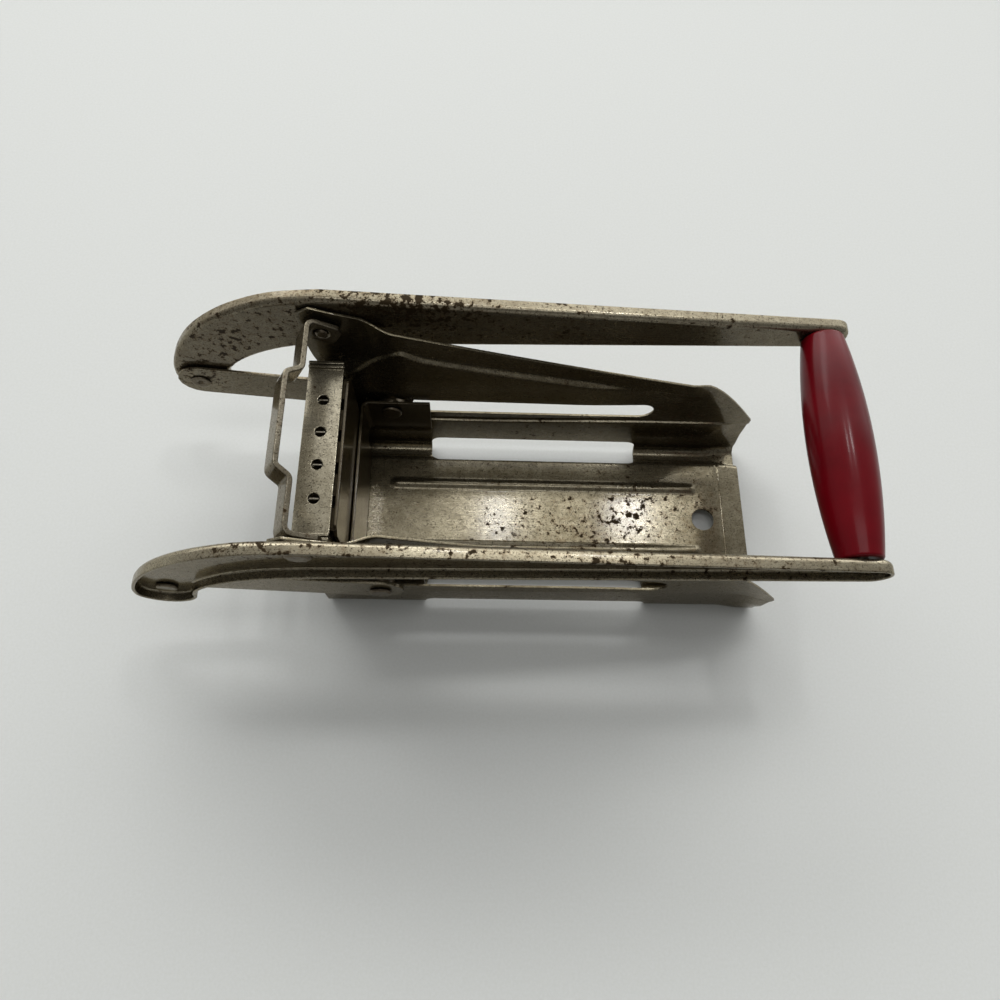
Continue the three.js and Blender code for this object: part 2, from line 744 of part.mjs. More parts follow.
// A solid through rings of points that match one to one, with flat ends. Rings lie across Y.
function throughRings(rings) {
  const count = rings[0].points.length;
  const position = [];
  for (const { y, points } of rings) for (const [x, z] of points) position.push(x, y, z);
  const index = [];
  for (let r = 0; r + 1 < rings.length; r++) {
    for (let i = 0; i < count; i++) {
      const j = (i + 1) % count;
      const [a, b] = [r * count + i, r * count + j];
      index.push(a, b, b + count, a, b + count, a + count);
    }
  }
  const last = (rings.length - 1) * count;
  const triangles = (points) =>
    THREE.ShapeUtils.triangulateShape(points.map(([x, z]) => new THREE.Vector2(x, z)), []);
  for (const [a, b, c] of triangles(rings[0].points)) index.push(a, c, b);
  for (const [a, b, c] of triangles(rings.at(-1).points)) index.push(last + a, last + b, last + c);
  const geometry = new THREE.BufferGeometry();
  geometry.setAttribute("position", new THREE.BufferAttribute(new Float32Array(position), 3));
  geometry.setIndex(index);
  return solid(geometry);
}

// A pressed channel: a web with a rim all round, bent outwards on a small radius.
function makeArm(name, side) {
  const outline = armOutline();
  const ring = (y, distance) => ({ y: side * y, points: inset(outline, distance) });
  const bend = [90, 45, 0].map((degrees) => {
    const turn = THREE.MathUtils.degToRad(degrees);
    const inner = armInner + bendRadius * (1 - Math.sin(turn));
    return ring(inner, bendRadius * (1 - Math.cos(turn)));
  });
  const outer = throughRings([...bend, ring(armInner + flangeDepth, 0)]);
  const innerBend = bendRadius - armSheet;
  const hollow = throughRings([
    ring(armWebOuter, armSheet + innerBend),
    ring(armWebOuter + innerBend, armSheet),
    ring(armInner + flangeDepth + overrun, armSheet),
  ]);
  const hole = (x, z, diameter) =>
    alongY(
      circle(x, z, diameter / 2 + clearance),
      side * (armInner - overrun),
      side * (armWebOuter + overrun),
    );
  const made = cut(
    outer,
    hollow,
    hole(0, 0, pivotRivetDiameter),
    hole(-tipReach, -tipDrop, tipRivetDiameter),
    hole(handleReach, -handleDrop, rodDiameter),
  );
  return piece(name, made, materials.arm);
}

// The turned handle: a barrel between the two webs.
function makeGrip() {
  const half = armInner - clearance;
  const [big, small] = [handleDiameter / 2, handleEndDiameter / 2];
  const profile = [[rodDiameter / 2 + clearance, -half]];
  const steps = 10;
  profile.push([small - handleEndRound, -half]);
  for (let i = 0; i <= steps; i++) {
    const place = mix(-half + handleEndRound, half - handleEndRound, i / steps);
    profile.push([big - (big - small) * (place / half) ** 2, place]);
  }
  profile.push([small - handleEndRound, half]);
  profile.push([rodDiameter / 2 + clearance, half]);
  profile.push(profile[0]);
  const grip = piece("handle_grip", turnedAlongY(profile, gripSides), materials.wood);
  grip.position.set(handleReach, 0, -handleDrop);
  return grip;
}

// The rod through the handle, with a head in each channel.
function makeRod() {
  const [shank, head] = [rodDiameter / 2, rodHeadDiameter / 2];
  const seat = armWebOuter + clearance;
  const top = seat + rivetHeadHeight;
  const profile = [
    [0, -top],
    [head * crownShare, -top],
    [head, -seat - rivetHeadHeight / 2],
    [head, -seat],
    [shank, -seat],
    [shank, seat],
    [head, seat],
    [head, seat + rivetHeadHeight / 2],
    [head * crownShare, top],
    [0, top],
  ];
  const rod = piece("handle_rod", turnedAlongY(profile), materials.rivet);
  rod.position.set(handleReach, 0, -handleDrop);
  return rod;
}

// The outer half of a tip rivet: a flat head in the channel and its stub in the arm's hole.
function makeTipHead(name, side) {
  const [shank, head] = [tipRivetDiameter / 2, tipHeadDiameter / 2];
  const seat = armWebOuter + clearance;
  const stub = linkOuter + clearance;
  const profile = [
    [0, stub],
    [shank, stub],
    [shank, seat],
    [head, seat],
    [head, seat + rivetHeadHeight / 2],
    [head * flatCrownShare, seat + rivetHeadHeight],
    [0, seat + rivetHeadHeight],
  ].map(([radius, y]) => [radius, side * y]);
  const rivet = piece(name, turnedAlongY(profile), materials.rivet);
  rivet.position.set(-tipReach, 0, -tipDrop);
  return rivet;
}

function makeLever() {
  const lever = new THREE.Group();
  lever.position.set(0, 0, pivotHeight);
  lever.add(makeGrip(), makeRod());
  for (const [word, side] of [["far", 1], ["near", -1]]) {
    lever.add(makeArm(`lever_arm_${word}`, side), makeTipHead(`tip_rivet_head_${word}`, side));
  }
  return lever;
}

// The rivets that the lever and the bail turn on: a shank in the wall and the arm, and a neck in
// the bail's ear, peened over in its dimple.
function makePivotRivet(name, side) {
  const [shank, head] = [pivotRivetDiameter / 2, pivotHeadDiameter / 2];
  const [neck, tail] = [pivotNeckDiameter / 2, pivotTailDiameter / 2];
  const inside = headInner - clearance - bailThickness - clearance;
  const outside = armWebOuter + clearance;
  const profile = [
    [0, inside - rivetHeadHeight],
    [tail * crownShare, inside - rivetHeadHeight],
    [tail, inside - rivetHeadHeight / 2],
    [tail, inside],
    [neck, inside],
    [neck, headInner],
    [shank, headInner],
    [shank, outside],
    [head, outside],
    [head, outside + rivetHeadHeight / 2],
    [head * crownShare, outside + rivetHeadHeight],
    [0, outside + rivetHeadHeight],
  ].map(([radius, y]) => [radius, side * y]);
  const rivet = piece(name, turnedAlongY(profile), materials.rivet);
  rivet.position.set(0, 0, pivotHeight);
  return rivet;
}

// Links

// A flat link with round ends, from the pusher's pin to the tip of the lever.
function makeLink(name, side) {
  const [inner, outer] = [side * linkInner, side * linkOuter];
  const made = cut(
    alongY(stadium(-linkLength, 0, 0, linkWidth / 2), inner, outer),
    alongY(
      circle(0, 0, pusherPinNeck / 2 + clearance),
      side * (linkInner - overrun),
      side * (linkOuter + overrun),
    ),
    alongY(
      circle(-linkLength, 0, tipRivetDiameter / 2 + clearance),
      side * (linkInner - overrun),
      side * (linkOuter + overrun),
    ),
  );
  return piece(name, made, materials.link);
}

// The inner half of a tip rivet: its peened end, hollow in the middle, against the link.
function makeTipTail(name, side) {
  const [shank, head] = [tipRivetDiameter / 2, tipTailDiameter / 2];
  const seat = linkInner - clearance;
  const end = wallOuter + rivetTailGap;
  const height = seat - end;
  const profile = [
    [0, end + height / 2],
    [shank, end],
    [head * flatCrownShare, end],
    [head, end + height / 2],
    [head, seat],
    [shank, seat],
    [shank, linkOuter],
    [0, linkOuter],
  ].map(([radius, y]) => [radius, side * y]);
  const rivet = piece(name, turnedAlongY(profile), materials.rivet);
  rivet.position.set(-linkLength, 0, 0);
  return rivet;
}

function makeLinks() {
  return [["far", 1], ["near", -1]].map(([word, side]) => {
    const link = new THREE.Group();
    link.position.set(pusherPinReach, 0, pusherPinHeight);
    link.rotation.y = linkTilt;
    link.add(makeLink(`link_${word}`, side), makeTipTail(`tip_rivet_tail_${word}`, side));
    return link;
  });
}

// Pusher

// The bracket: a cross web with a side bent back along each wall to carry the pins.
function makeBracket() {
  const outer = bracketOuter;
  const top = pusherPinHeight + bracketTopAbovePin;
  const low = pusherPinHeight - bracketBottomBelowPin;
  const rear = bracketFront + bracketLength;
  const bend = bracketBend + pusherSheet;
  const sweep = (a, b, radius, from, to) => arc(a, b, radius, from, to, 3);
  const plan = [
    [rear, outer],
    ...sweep(bracketFront + bend, outer - bend, bend, 90, 180),
    ...sweep(bracketFront + bend, bend - outer, bend, 180, 270),
    [rear, -outer],
    [rear, pusherSheet - outer],
    ...sweep(bracketFront + bend, bend - outer, bracketBend, 270, 180),
    ...sweep(bracketFront + bend, outer - bend, bracketBend, 180, 90),
    [rear, outer - pusherSheet],
  ];
  const foot = floorTop + floorRibHeight + clearance;
  let made = join(
    alongZ(plan, low, top),
    bar(bracketFront, bracketFront + pusherSheet, -webHalfWidth, webHalfWidth, foot, top),
  );
  const reach = outer + overrun;
  made = cut(
    made,
    alongY(circle(pusherPinReach, pusherPinHeight, pusherPinNeck / 2 + clearance), -reach, reach),
  );
  return piece("pusher_bracket", made, materials.pusher);
}

// The face plate with one square stud for each cell of the grid.
function makeFace() {
  const half = openingHalf - faceMargin;
  const [low, high] = [gridInnerBottom + faceMargin, gridInnerTop - faceMargin];
  const outline = [
    [-half, low],
    [half, low],
    [half, high - faceCorner],
    [half - faceCorner, high],
    [faceCorner - half, high],
    [-half, high - faceCorner],
  ];
  let made = alongX(outline, faceFront, faceFront + pusherSheet);
  const side = cellPitch - bladeThickness - 2 * studGap;
  const tip = gridFront + studSetback;
  for (let i = 0; i < cellCount; i++) {
    for (let j = 0; j < cellCount; j++) {
      const y = cellPitch * (i + 0.5) - openingHalf;
      const z = gridInnerBottom + cellPitch * (j + 0.5);
      made = made.add(stud(tip, y, z, side / 2));
    }
  }
  return piece("pusher_face", made, materials.pusher);
}

// A square stud that tapers a little to its tip.
function stud(tip, y, z, half) {
  const length = faceFront + pusherSheet / 2 - tip;
  const post = new THREE.CylinderGeometry(
    (half - studDraft) * Math.SQRT2,
    half * Math.SQRT2,
    length,
    4,
  );
  post.rotateY(Math.PI / 4).rotateZ(Math.PI / 2);
  return solid(post.translate(tip + length / 2, y, z));
}

// A pin of the pusher: a neck in the bracket, a shoulder in the wall's slot and a neck in the link.
function makePusherPin(name, side) {
  const [neck, head] = [pusherPinNeck / 2, pusherPinHead / 2];
  const shoulder = slotRadius - clearance;
  const inside = bracketOuter - pusherSheet - clearance;
  const profile = [
    [0, inside - rivetHeadHeight],
    [head * flatCrownShare, inside - rivetHeadHeight],
    [head, inside - rivetHeadHeight / 2],
    [head, inside],
    [neck, inside],
    [neck, bracketOuter + clearance],
    [shoulder, bracketOuter + clearance],
    [shoulder, linkInner - clearance],
    [neck, linkInner - clearance],
    [neck, linkOuter + clearance],
    [head, linkOuter + clearance],
    [head, linkOuter + clearance + rivetHeadHeight / 2],
    [head * flatCrownShare, linkOuter + clearance + rivetHeadHeight],
    [0, linkOuter + clearance + rivetHeadHeight],
  ].map(([radius, y]) => [radius, side * y]);
  const pin = piece(name, turnedAlongY(profile), materials.rivet);
  pin.position.set(pusherPinReach, 0, pusherPinHeight);
  return pin;
}

// Retaining bail

// The bar's profile across the cutter: ears, bar and the raised middle, as a strip of even
// thickness around its middle line. Coordinates are y and the distance from the pivot.
function bailProfile() {
  const half = bailThickness / 2;
  const earMid = headInner - clearance - bailBossHeight - half;
  const earTurn = bailBend + half;
  const jogTurn = bailJogBend + half;
  const slope = Math.atan2(bailBump, bailBumpRun);
  const reach = jogTurn * Math.tan(slope / 2);
  const degrees = THREE.MathUtils.radToDeg(slope);
  const edge = (shift) => {
    const foot = bailBumpHalf + bailBumpRun + reach;
    const crest = bailBumpHalf - reach;
    return [
      [earMid + shift, -bailStandoff],
      ...arc(earMid - earTurn, bailStandoff - earTurn, earTurn + shift, 0, 90, 3),
      ...arc(foot, bailStandoff + jogTurn, jogTurn - shift, 270, 270 - degrees, 3),
      ...arc(crest, bailStandoff + bailBump - jogTurn, jogTurn + shift, 90 - degrees, 90, 3),
    ];
  };
  const whole = (points) => [...points, ...points.map(([y, n]) => [-y, n]).reverse()];
  return [...whole(edge(half)), ...whole(edge(-half)).reverse()];
}

function makeBail() {
  const geometry = new THREE.ExtrudeGeometry(shapeOf(bailProfile()), {
    depth: bailWidth,
    bevelEnabled: false,
  });
  // The profile's y stays Y, its distance becomes -X and its depth becomes Z.
  const turn = new THREE.Matrix4().makeBasis(
    new THREE.Vector3(0, 1, 0),
    new THREE.Vector3(-1, 0, 0),
    new THREE.Vector3(0, 0, 1),
  );
  let made = solid(geometry.translate(0, 0, -bailWidth / 2).applyMatrix4(turn));
  for (const side of [1, -1]) {
    const { boss, dimple } = earPressing(side);
    const hole = circle(0, 0, pivotNeckDiameter / 2 + clearance);
    made = cut(
      join(made, boss.intersect(earBounds(side))),
      dimple,
      alongY(hole, side * openingHalf, side * headOuter),
      ...earCorners(side),
    );
  }
  const bail = piece("retaining_bail", made, materials.link);
  bail.rotation.y = THREE.MathUtils.degToRad(bailAngle);
  bail.position.set(0, 0, pivotHeight);
  return bail;
}

// The boss pressed out of an ear towards the wall, and the dimple that it leaves inside.
function earPressing(side) {
  const [boss, dimple] = [bailBossDiameter / 2, bailDimpleDiameter / 2];
  const face = headInner - clearance;
  const outside = face - bailBossHeight;
  const inside = outside - bailThickness;
  const turned = (profile) => turnedAlongY(profile.map(([radius, y]) => [radius, side * y]));
  return {
    boss: turned([
      [0, outside - bailThickness / 2],
      [boss, outside - bailThickness / 2],
      [boss, outside],
      [boss - bailBossHeight, face],
      [0, face],
    ]),
    dimple: turned([
      [0, inside - overrun],
      [dimple, inside - overrun],
      [dimple, inside],
      [dimple - bailDimpleDraft, inside + bailBossHeight],
      [0, inside + bailBossHeight],
    ]),
  };
}

// Space that an ear may fill, so that its boss ends at the ear's edges.
function earBounds(side) {
  const [y0, y1] = [side * openingHalf, side * headOuter].sort((a, b) => a - b);
  return bar(-bailStandoff, bailStandoff, y0, y1, -bailWidth / 2, bailWidth / 2);
}

// Wedges that take the two rear corners off an ear.
function earCorners(side) {
  const [x, z] = [bailStandoff, bailWidth / 2];
  const [from, to] = [side * openingHalf, side * headOuter];
  return [1, -1].map((up) =>
    alongY(
      [
        [x - earCorner, up * (z + tiny)],
        [x + tiny, up * (z + tiny)],
        [x + tiny, up * (z - earCorner)],
      ],
      from,
      to,
    ),
  );
}

const cutter = new THREE.Group();
cutter.position.x = (tipReach + tipRadius - armReach) / 2;
cutter.add(makeFrame(), makeGridFrame(), ...makeBlades());
cutter.add(makePivotRivet("pivot_rivet_far", 1), makePivotRivet("pivot_rivet_near", -1));
cutter.add(makeLever(), ...makeLinks());
cutter.add(makeFace(), makeBracket());
cutter.add(makePusherPin("pusher_pin_far", 1), makePusherPin("pusher_pin_near", -1));
cutter.add(makeBail());

export default cutter;
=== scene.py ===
# %% [markdown]
# # A french fry cutter of tinned steel
#
# The cutter is an old kitchen tool: a trough of pressed tinplate, a lever on two arms, a red
# wooden handle and a grid of blades. The packed model gives every piece its size and place, and
# this lesson dresses it. Each step says what a piece is, how it could be made, and why one way
# was chosen.

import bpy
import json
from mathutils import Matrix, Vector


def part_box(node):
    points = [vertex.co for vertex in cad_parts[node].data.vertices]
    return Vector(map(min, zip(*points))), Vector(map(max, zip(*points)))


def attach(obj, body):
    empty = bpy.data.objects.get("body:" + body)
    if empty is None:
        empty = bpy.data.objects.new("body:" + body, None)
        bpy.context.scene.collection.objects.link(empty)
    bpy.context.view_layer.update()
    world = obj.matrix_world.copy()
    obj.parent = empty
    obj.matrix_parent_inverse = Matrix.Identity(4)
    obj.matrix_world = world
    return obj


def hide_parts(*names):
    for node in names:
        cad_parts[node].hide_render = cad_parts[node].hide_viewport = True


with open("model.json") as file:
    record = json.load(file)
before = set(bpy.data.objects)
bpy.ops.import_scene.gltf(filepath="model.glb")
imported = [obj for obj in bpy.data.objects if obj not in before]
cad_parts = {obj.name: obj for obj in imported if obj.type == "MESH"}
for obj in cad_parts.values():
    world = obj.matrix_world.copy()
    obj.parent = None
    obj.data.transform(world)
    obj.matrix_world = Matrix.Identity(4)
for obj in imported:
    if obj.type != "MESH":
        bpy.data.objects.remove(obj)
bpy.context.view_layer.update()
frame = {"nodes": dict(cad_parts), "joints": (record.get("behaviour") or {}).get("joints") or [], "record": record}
nodes = frame["nodes"]
record = frame["record"]

# %% Python and Blender helpers
import json
import math

import bmesh
import bpy
from mathutils import Vector

MM = 0.001
scene = bpy.context.scene
slots = {entry["node"]: entry["material_slot"] for entry in record["subparts"]}
bodies = {node: body for body, members in record["behaviour"]["bodies"].items() for node in members}
pins = {joint["name"]: Vector(joint["pos_m"]) for joint in frame["joints"] if "pos_m" in joint}
pivot = pins["lever_lift"]
print("lever turns about a pin", round(pivot.z / MM, 1), "mm above the table")

# %% [markdown]
# ## Camera
#
# The photograph looks down on the cutter from the near side, with a phone's short lens. A camera
# can be aimed by eye, but here its place and tilt were worked out from corners of the cutter
# whose sizes are known, so that the render can be laid over the photograph.

# %% Camera
camera_data = bpy.data.cameras.new("camera")
camera_data.lens = 26.99
camera_data.sensor_width = 36
camera_data.clip_start = 10 * MM
camera = bpy.data.objects.new("camera", camera_data)
camera.location = Vector((-9.8, -109.9, 309.9)) * MM
camera.rotation_euler = [math.radians(angle) for angle in (21.07, -2.77, 0.25)]
scene.collection.objects.link(camera)
scene.camera = camera
print("camera height in mm:", round(camera.location.z / MM))

# %% [markdown]
# ## Node materials
#
# Blender's shaders are graphs. They can be drawn in the shader editor, but in code the pieces can
# share them. Writing one is mostly making nodes and joining sockets, so a small class does that,
# and the sums and blends that come up in each.


# %% Making and joining nodes
class Graph:
    """A node tree under construction: makes nodes and joins them."""

    def __init__(self, tree):
        self.tree = tree

    def add(self, kind, links=None, **settings):
        node = self.tree.nodes.new(kind)
        for key, value in settings.items():
            setattr(node, key, value)
        for socket, value in (links or {}).items():
            self.feed(node.inputs[socket], value)
        return node

    def feed(self, socket, value):
        if isinstance(value, bpy.types.NodeSocket):
            self.tree.links.new(value, socket)
        else:
            socket.default_value = value

    def between(self, value, low, high, to_low=0.0, to_high=1.0):
        settings = {"Value": value, "From Min": low, "From Max": high}
        node = self.add("ShaderNodeMapRange", {**settings, "To Min": to_low, "To Max": to_high})
        return node.outputs["Result"]

    def math(self, operation, a, b=0.0):
        node = self.add("ShaderNodeMath", operation=operation)
        self.feed(node.inputs[0], a)
        self.feed(node.inputs[1], b)
        return node.outputs["Value"]

    def plus(self, *terms):
        total = terms[0]
        for term in terms[1:]:
            total = self.math("ADD", total, term)
        return total

    def times(self, a, b):
        return self.math("MULTIPLY", a, b)

    def blend(self, share, a, b):
        node = self.add("ShaderNodeMix", data_type="RGBA")
        self.feed(node.inputs["Factor"], share)
        self.feed(node.inputs["A"], a)
        self.feed(node.inputs["B"], b)
        return node.outputs["Result"]


print("helpers of a graph:", sum(callable(helper) for helper in vars(Graph).values()))

# %% [markdown]
# ## Textures in real places
#
# Every piece keeps its mesh in the cutter's own frame, so the Object coordinate of a point is its
# real place, and a stain or a fleck can be put where the real one is. A painted picture would have
# to be wrapped round each piece, and noise in space needs no wrapping and has no seams.

# %% Helpers for materials
LEVEL_FACE, UPRIGHT_FACE = 0.75, 0.2  # how far up the normal of a face points


class Recipe(Graph):
    """A material's graph, with its shader and the place of each point."""

    def __init__(self, name):
        self.material = bpy.data.materials.new(name)
        self.material.use_nodes = True
        super().__init__(self.material.node_tree)
        self.shader = self.tree.nodes["Principled BSDF"]
        self.place = self.add("ShaderNodeTexCoord").outputs["Object"]

    def noise(self, scale, detail=4, roughness=0.6, at=None):
        settings = {"Vector": at or self.place, "Scale": scale, "Detail": detail}
        node = self.add("ShaderNodeTexNoise", {**settings, "Roughness": roughness})
        return node.outputs["Fac"]

    def stretched(self, x, y, z):
        mapping = self.add("ShaderNodeMapping", {"Vector": self.place, "Scale": (x, y, z)})
        return mapping.outputs["Vector"]

    def near(self, place, reach):
        """1 at a place on the cutter, falling to 0 at a distance from it."""
        centre = tuple(value * MM for value in place)
        node = self.add("ShaderNodeVectorMath", operation="DISTANCE")
        self.feed(node.inputs[0], self.place)
        self.feed(node.inputs[1], centre)
        return self.between(node.outputs["Value"], reach * MM, 0.0)

    def upright(self):
        """1 on a face that stands upright, 0 on one that lies level: it masks the painted shade on upright faces.
        """
        normal = self.add("ShaderNodeNewGeometry").outputs["True Normal"]
        to_object = {"vector_type": "NORMAL", "convert_from": "WORLD", "convert_to": "OBJECT"}
        turned = self.add("ShaderNodeVectorTransform", {"Vector": normal}, **to_object)
        split = self.add("ShaderNodeSeparateXYZ", {"Vector": turned.outputs["Vector"]})
        return self.between(self.math("ABSOLUTE", split.outputs["Z"]), LEVEL_FACE, UPRIGHT_FACE)

    def bump(self, height, strength, distance, normal=None):
        settings = {"Height": height, "Strength": strength, "Distance": distance}
        node = self.add("ShaderNodeBump", settings)
        if normal is not None:
            self.feed(node.inputs["Normal"], normal)
        return node.outputs["Normal"]

    def set(self, **sockets):
        for key, value in sockets.items():
            self.feed(self.shader.inputs[key.replace("_", " ")], value)
        return self.material


print("helpers of a material:", sum(callable(helper) for helper in vars(Recipe).values()))

# %% [markdown]
# ## Rust flecks
#
# Where the tin has worn through, the steel rusts in dark brown flecks, from specks of a third of a
# millimetre to ragged spots of three. A picture could be painted for this, but noise does it at
# any scale: a coarse noise says where the sheet has suffered, a fine one breaks that into flecks,
# and their sum is cut at a threshold. A lower threshold gives the stain that rings each spot.

# %% Rust flecks
DAMAGE, BLOTS, DOTS, RAGGED = 24.0, 235.0, 1250.0, 1300.0  # features of each noise in a metre
DAMAGE_WEIGHT = 0.07
BLOT_SHARE, RAGGED_SHARE, FLECK_SHARE = 0.7, 0.3, 0.9
STAIN_FROM, SPOT_FROM, SPOT_FULL = 0.63, 0.70, 0.715
FLECK_FROM, FLECK_FULL = 0.705, 0.735


def rust_marks(r, wear, fine, rust):
    """Masks of the ragged spots, of the stain round them, and of spots and fine flecks together."""
    damage = r.between(r.noise(DAMAGE, detail=2, roughness=0.5), 0.4, 0.75, 0.0, DAMAGE_WEIGHT)
    for place, reach, weight in wear:
        damage = r.plus(damage, r.times(r.near(place, reach), weight))
    blots = r.noise(BLOTS * fine, detail=2, roughness=0.5)
    ragged = r.noise(RAGGED, detail=4, roughness=0.75)
    field = r.plus(r.times(blots, BLOT_SHARE), r.times(ragged, RAGGED_SHARE), damage)
    spots = r.between(field, SPOT_FROM - rust, SPOT_FULL - rust)
    stain = r.between(field, STAIN_FROM - rust, SPOT_FULL - rust)
    dots = r.noise(DOTS, detail=1, roughness=0.5)
    flecks = r.between(r.plus(dots, r.times(damage, 0.5)), FLECK_FROM - rust, FLECK_FULL - rust)
    return spots, stain, r.math("MAXIMUM", spots, r.times(flecks, FLECK_SHARE))


print("rust starts where the noises add up to", SPOT_FROM)

# %% [markdown]
# ## Tarnished tinplate
#
# Tin over steel starts bright and dulls to a warm grey, and upright faces are painted darker still: painted shade,
# with some grime.
# Rolling and pressing leave faint lines along it, which stretch the highlights. One gloss can't
# show both the compact bright spot of a lamp on tin and the haze round it. So the metal is satin,
# and a smoother coat lies over it, which rust takes away. At a grazing angle a plain metal turns
# white, so its tint there is set to a warm grey.


# %% Colours
def srgb(red, green, blue):
    """A colour as seen on screen, from 0 to 255, turned into the linear values that shaders use."""
    shares = [value / 255 for value in (red, green, blue)]
    linear = [s / 12.92 if s <= 0.04045 else ((s + 0.055) / 1.055) ** 2.4 for s in shares]
    return (*linear, 1.0)


print("a screen's middle grey is", round(srgb(128, 128, 128)[0], 2), "to a shader")

# %% Tinplate
CLOUDS, DENTS, DRAWN, MOTTLE, GRAIN = 34.0, 36.0, 110.0, 380.0, 1700.0  # features in a metre
ROLLING = (1.0, 26.0, 26.0)  # the rolled lines run along X
RUST = srgb(39, 28, 13)
RUST_EDGE = srgb(84, 62, 34)
# colour of the grime specks, and of the painted shade on upright faces
GRIME_AND_SHADE = srgb(58, 50, 38)
GRAZING = srgb(196, 184, 158)
TARNISH_LEVELS, SPECK_LEVELS = (0.42, 0.62), (0.53, 0.66)  # noise where a mask starts and is full
# the second share is how far upright faces are darkened: painted shade, with grime
SPECK_GRIME, UPRIGHT_SHADE_AND_GRIME, STAIN_SHARE = 0.75, 0.6, 0.45
CLEAN_METAL, RUSTED_METAL = 0.88, 0.4
COAT, COAT_IOR, COAT_ROUGHNESS = 0.65, 1.4, 0.12


def tinplate(name, tone, dull, rust=0.0, roughness=0.26, wear=(), fine=1.0):
    r = Recipe(name)
    cloud = r.noise(CLOUDS, detail=5, roughness=0.6)
    mottle = r.noise(MOTTLE, detail=5, roughness=0.72)
    grain = r.noise(GRAIN, detail=2, roughness=0.6)
    drawn = r.noise(DRAWN, detail=4, at=r.stretched(*ROLLING))
    tarnish = r.between(r.plus(r.times(cloud, 0.55), r.times(mottle, 0.45)), *TARNISH_LEVELS)
    metal = r.blend(tarnish, srgb(*tone), srgb(*dull))
    speck = r.between(grain, *SPECK_LEVELS)
    metal = r.blend(r.times(speck, SPECK_GRIME), metal, GRIME_AND_SHADE)
    # painted shade: upright faces are darkened in the colour itself, with some grime
    metal = r.blend(r.times(r.upright(), UPRIGHT_SHADE_AND_GRIME), metal, GRIME_AND_SHADE)
    spots, stain, rusted = rust_marks(r, wear, fine, rust)
    stained = r.blend(r.times(stain, STAIN_SHARE), metal, RUST_EDGE)
    rough = r.plus(
        r.between(drawn, 0.3, 0.7, roughness - 0.03, roughness + 0.04),
        r.times(tarnish, 0.05),
        r.times(speck, 0.06),
        r.times(rusted, 0.35),
    )
    dented = r.bump(r.noise(DENTS, detail=2, roughness=0.4), 0.04, 1.2 * MM)
    rolled = r.bump(drawn, 0.03, 0.15 * MM, dented)
    pits = r.plus(r.times(spots, 0.5), r.times(grain, 0.2), r.times(mottle, 0.15))
    return r.set(
        Base_Color=r.blend(rusted, stained, RUST),
        Metallic=r.between(rusted, 0, 1, CLEAN_METAL, RUSTED_METAL),
        Roughness=rough,
        Normal=r.bump(pits, 0.1, 0.2 * MM, rolled),
        Specular_Tint=GRAZING,
        Coat_Weight=r.between(rusted, 0, 0.5, COAT, 0.0),
        Coat_IOR=COAT_IOR,
        Coat_Roughness=COAT_ROUGHNESS,
        Coat_Normal=dented,
    )


print("satin metal under a coat of", COAT)

# %% [markdown]
# ## Where the rust is, and the finish of each piece
#
# Rust starts where water stays and where hands and potatoes rub the tin away: on the floor of the
# trough, and along the upper bends of the arms. Each worn place is a ball round a point, which
# raises the rust inside it. The pieces share one recipe and differ in tone, gloss and rust: the
# grid is the cleanest, the pusher the darkest, and the blades show ground steel.

# %% Finishes of the metal pieces
# Worn places: centre and reach in mm, and weight.
floor_wear = [
    ((60, 4, 7), 26, 0.11), ((40, -10, 7), 22, 0.09),
    ((22, 0, 7), 18, 0.08), ((94, 5, 7), 22, 0.14),
    ((2, -4, 7), 22, 0.1), ((104, 32, 5), 14, 0.12),
    ((30, 38, 24), 60, 0.05),
]
arm_wear = [
    ((-28, 44, 97), 34, 0.17), ((-60, 44, 97), 34, 0.14),
    ((-100, 44, 74), 40, 0.13), ((-118, 43, 48), 20, 0.1),
    ((20, 44, 95), 40, 0.1), ((80, 44, 90), 40, 0.08),
    ((-80, -44, 92), 40, 0.1), ((-40, -44, 97), 40, 0.1),
    ((10, -44, 95), 50, 0.09), ((60, -44, 92), 50, 0.1),
    ((105, -44, 90), 30, 0.1),
]
metals = {
    "tinplate": ("tarnished_tinplate", (136, 128, 107), (96, 88, 68)),
    "tinplate_arm": ("tinplate_of_the_arms", (154, 146, 125), (114, 104, 84)),
    "tinplate_grid": ("tinplate_of_the_grid", (184, 176, 154), (138, 130, 110)),
    "retaining_bail": ("tinplate_of_the_bail", (118, 111, 95), (88, 81, 66)),
    "pusher_steel": ("darkened_tinplate", (88, 80, 62), (58, 50, 36)),
    "blade_steel": ("ground_blade_steel", (160, 154, 140), (120, 114, 100)),
    "rivet_steel": ("rubbed_rivet_steel", (122, 112, 94), (82, 70, 54)),
}
wear_and_gloss = {
    "tinplate": {"wear": floor_wear, "fine": 1.3},
    "tinplate_arm": {"wear": arm_wear, "fine": 1.7},
    "tinplate_grid": {"rust": -0.01, "roughness": 0.2},
    "retaining_bail": {"rust": 0.03, "fine": 1.7},
    "pusher_steel": {"rust": -0.01, "roughness": 0.36},
    "blade_steel": {"rust": -0.03, "roughness": 0.28},
    "rivet_steel": {"rust": 0.01, "roughness": 0.34},
}
finishes = {key: tinplate(*metals[key], **wear_and_gloss[key]) for key in metals}
print("metal finishes:", len(finishes))

# %% [markdown]
# ## Red paint on turned wood
#
# The handle was turned on a lathe and dipped in thick gloss paint. The paint hides the grain but
# follows faint turning rings, and years of hands have left fine scratches and dulled the gloss.
# So the colour is nearly even, a thin coat keeps one soft highlight along the barrel, and the
# rings, waves and scratches break it up.

# %% Painted wood
RED, DEEP_RED = srgb(102, 2, 14), srgb(80, 2, 10)
DRIFT, WAVES = 30.0, 60.0  # features in a metre
RINGS = (20.0, 700.0, 20.0)  # features in a metre along X, Y and Z: thin discs across the barrel
SCRATCHES = (1500.0, 240.0, 1500.0)
PAINT_GLOSS, PAINT_COAT, PAINT_COAT_ROUGHNESS = 0.1, 0.15, 0.14


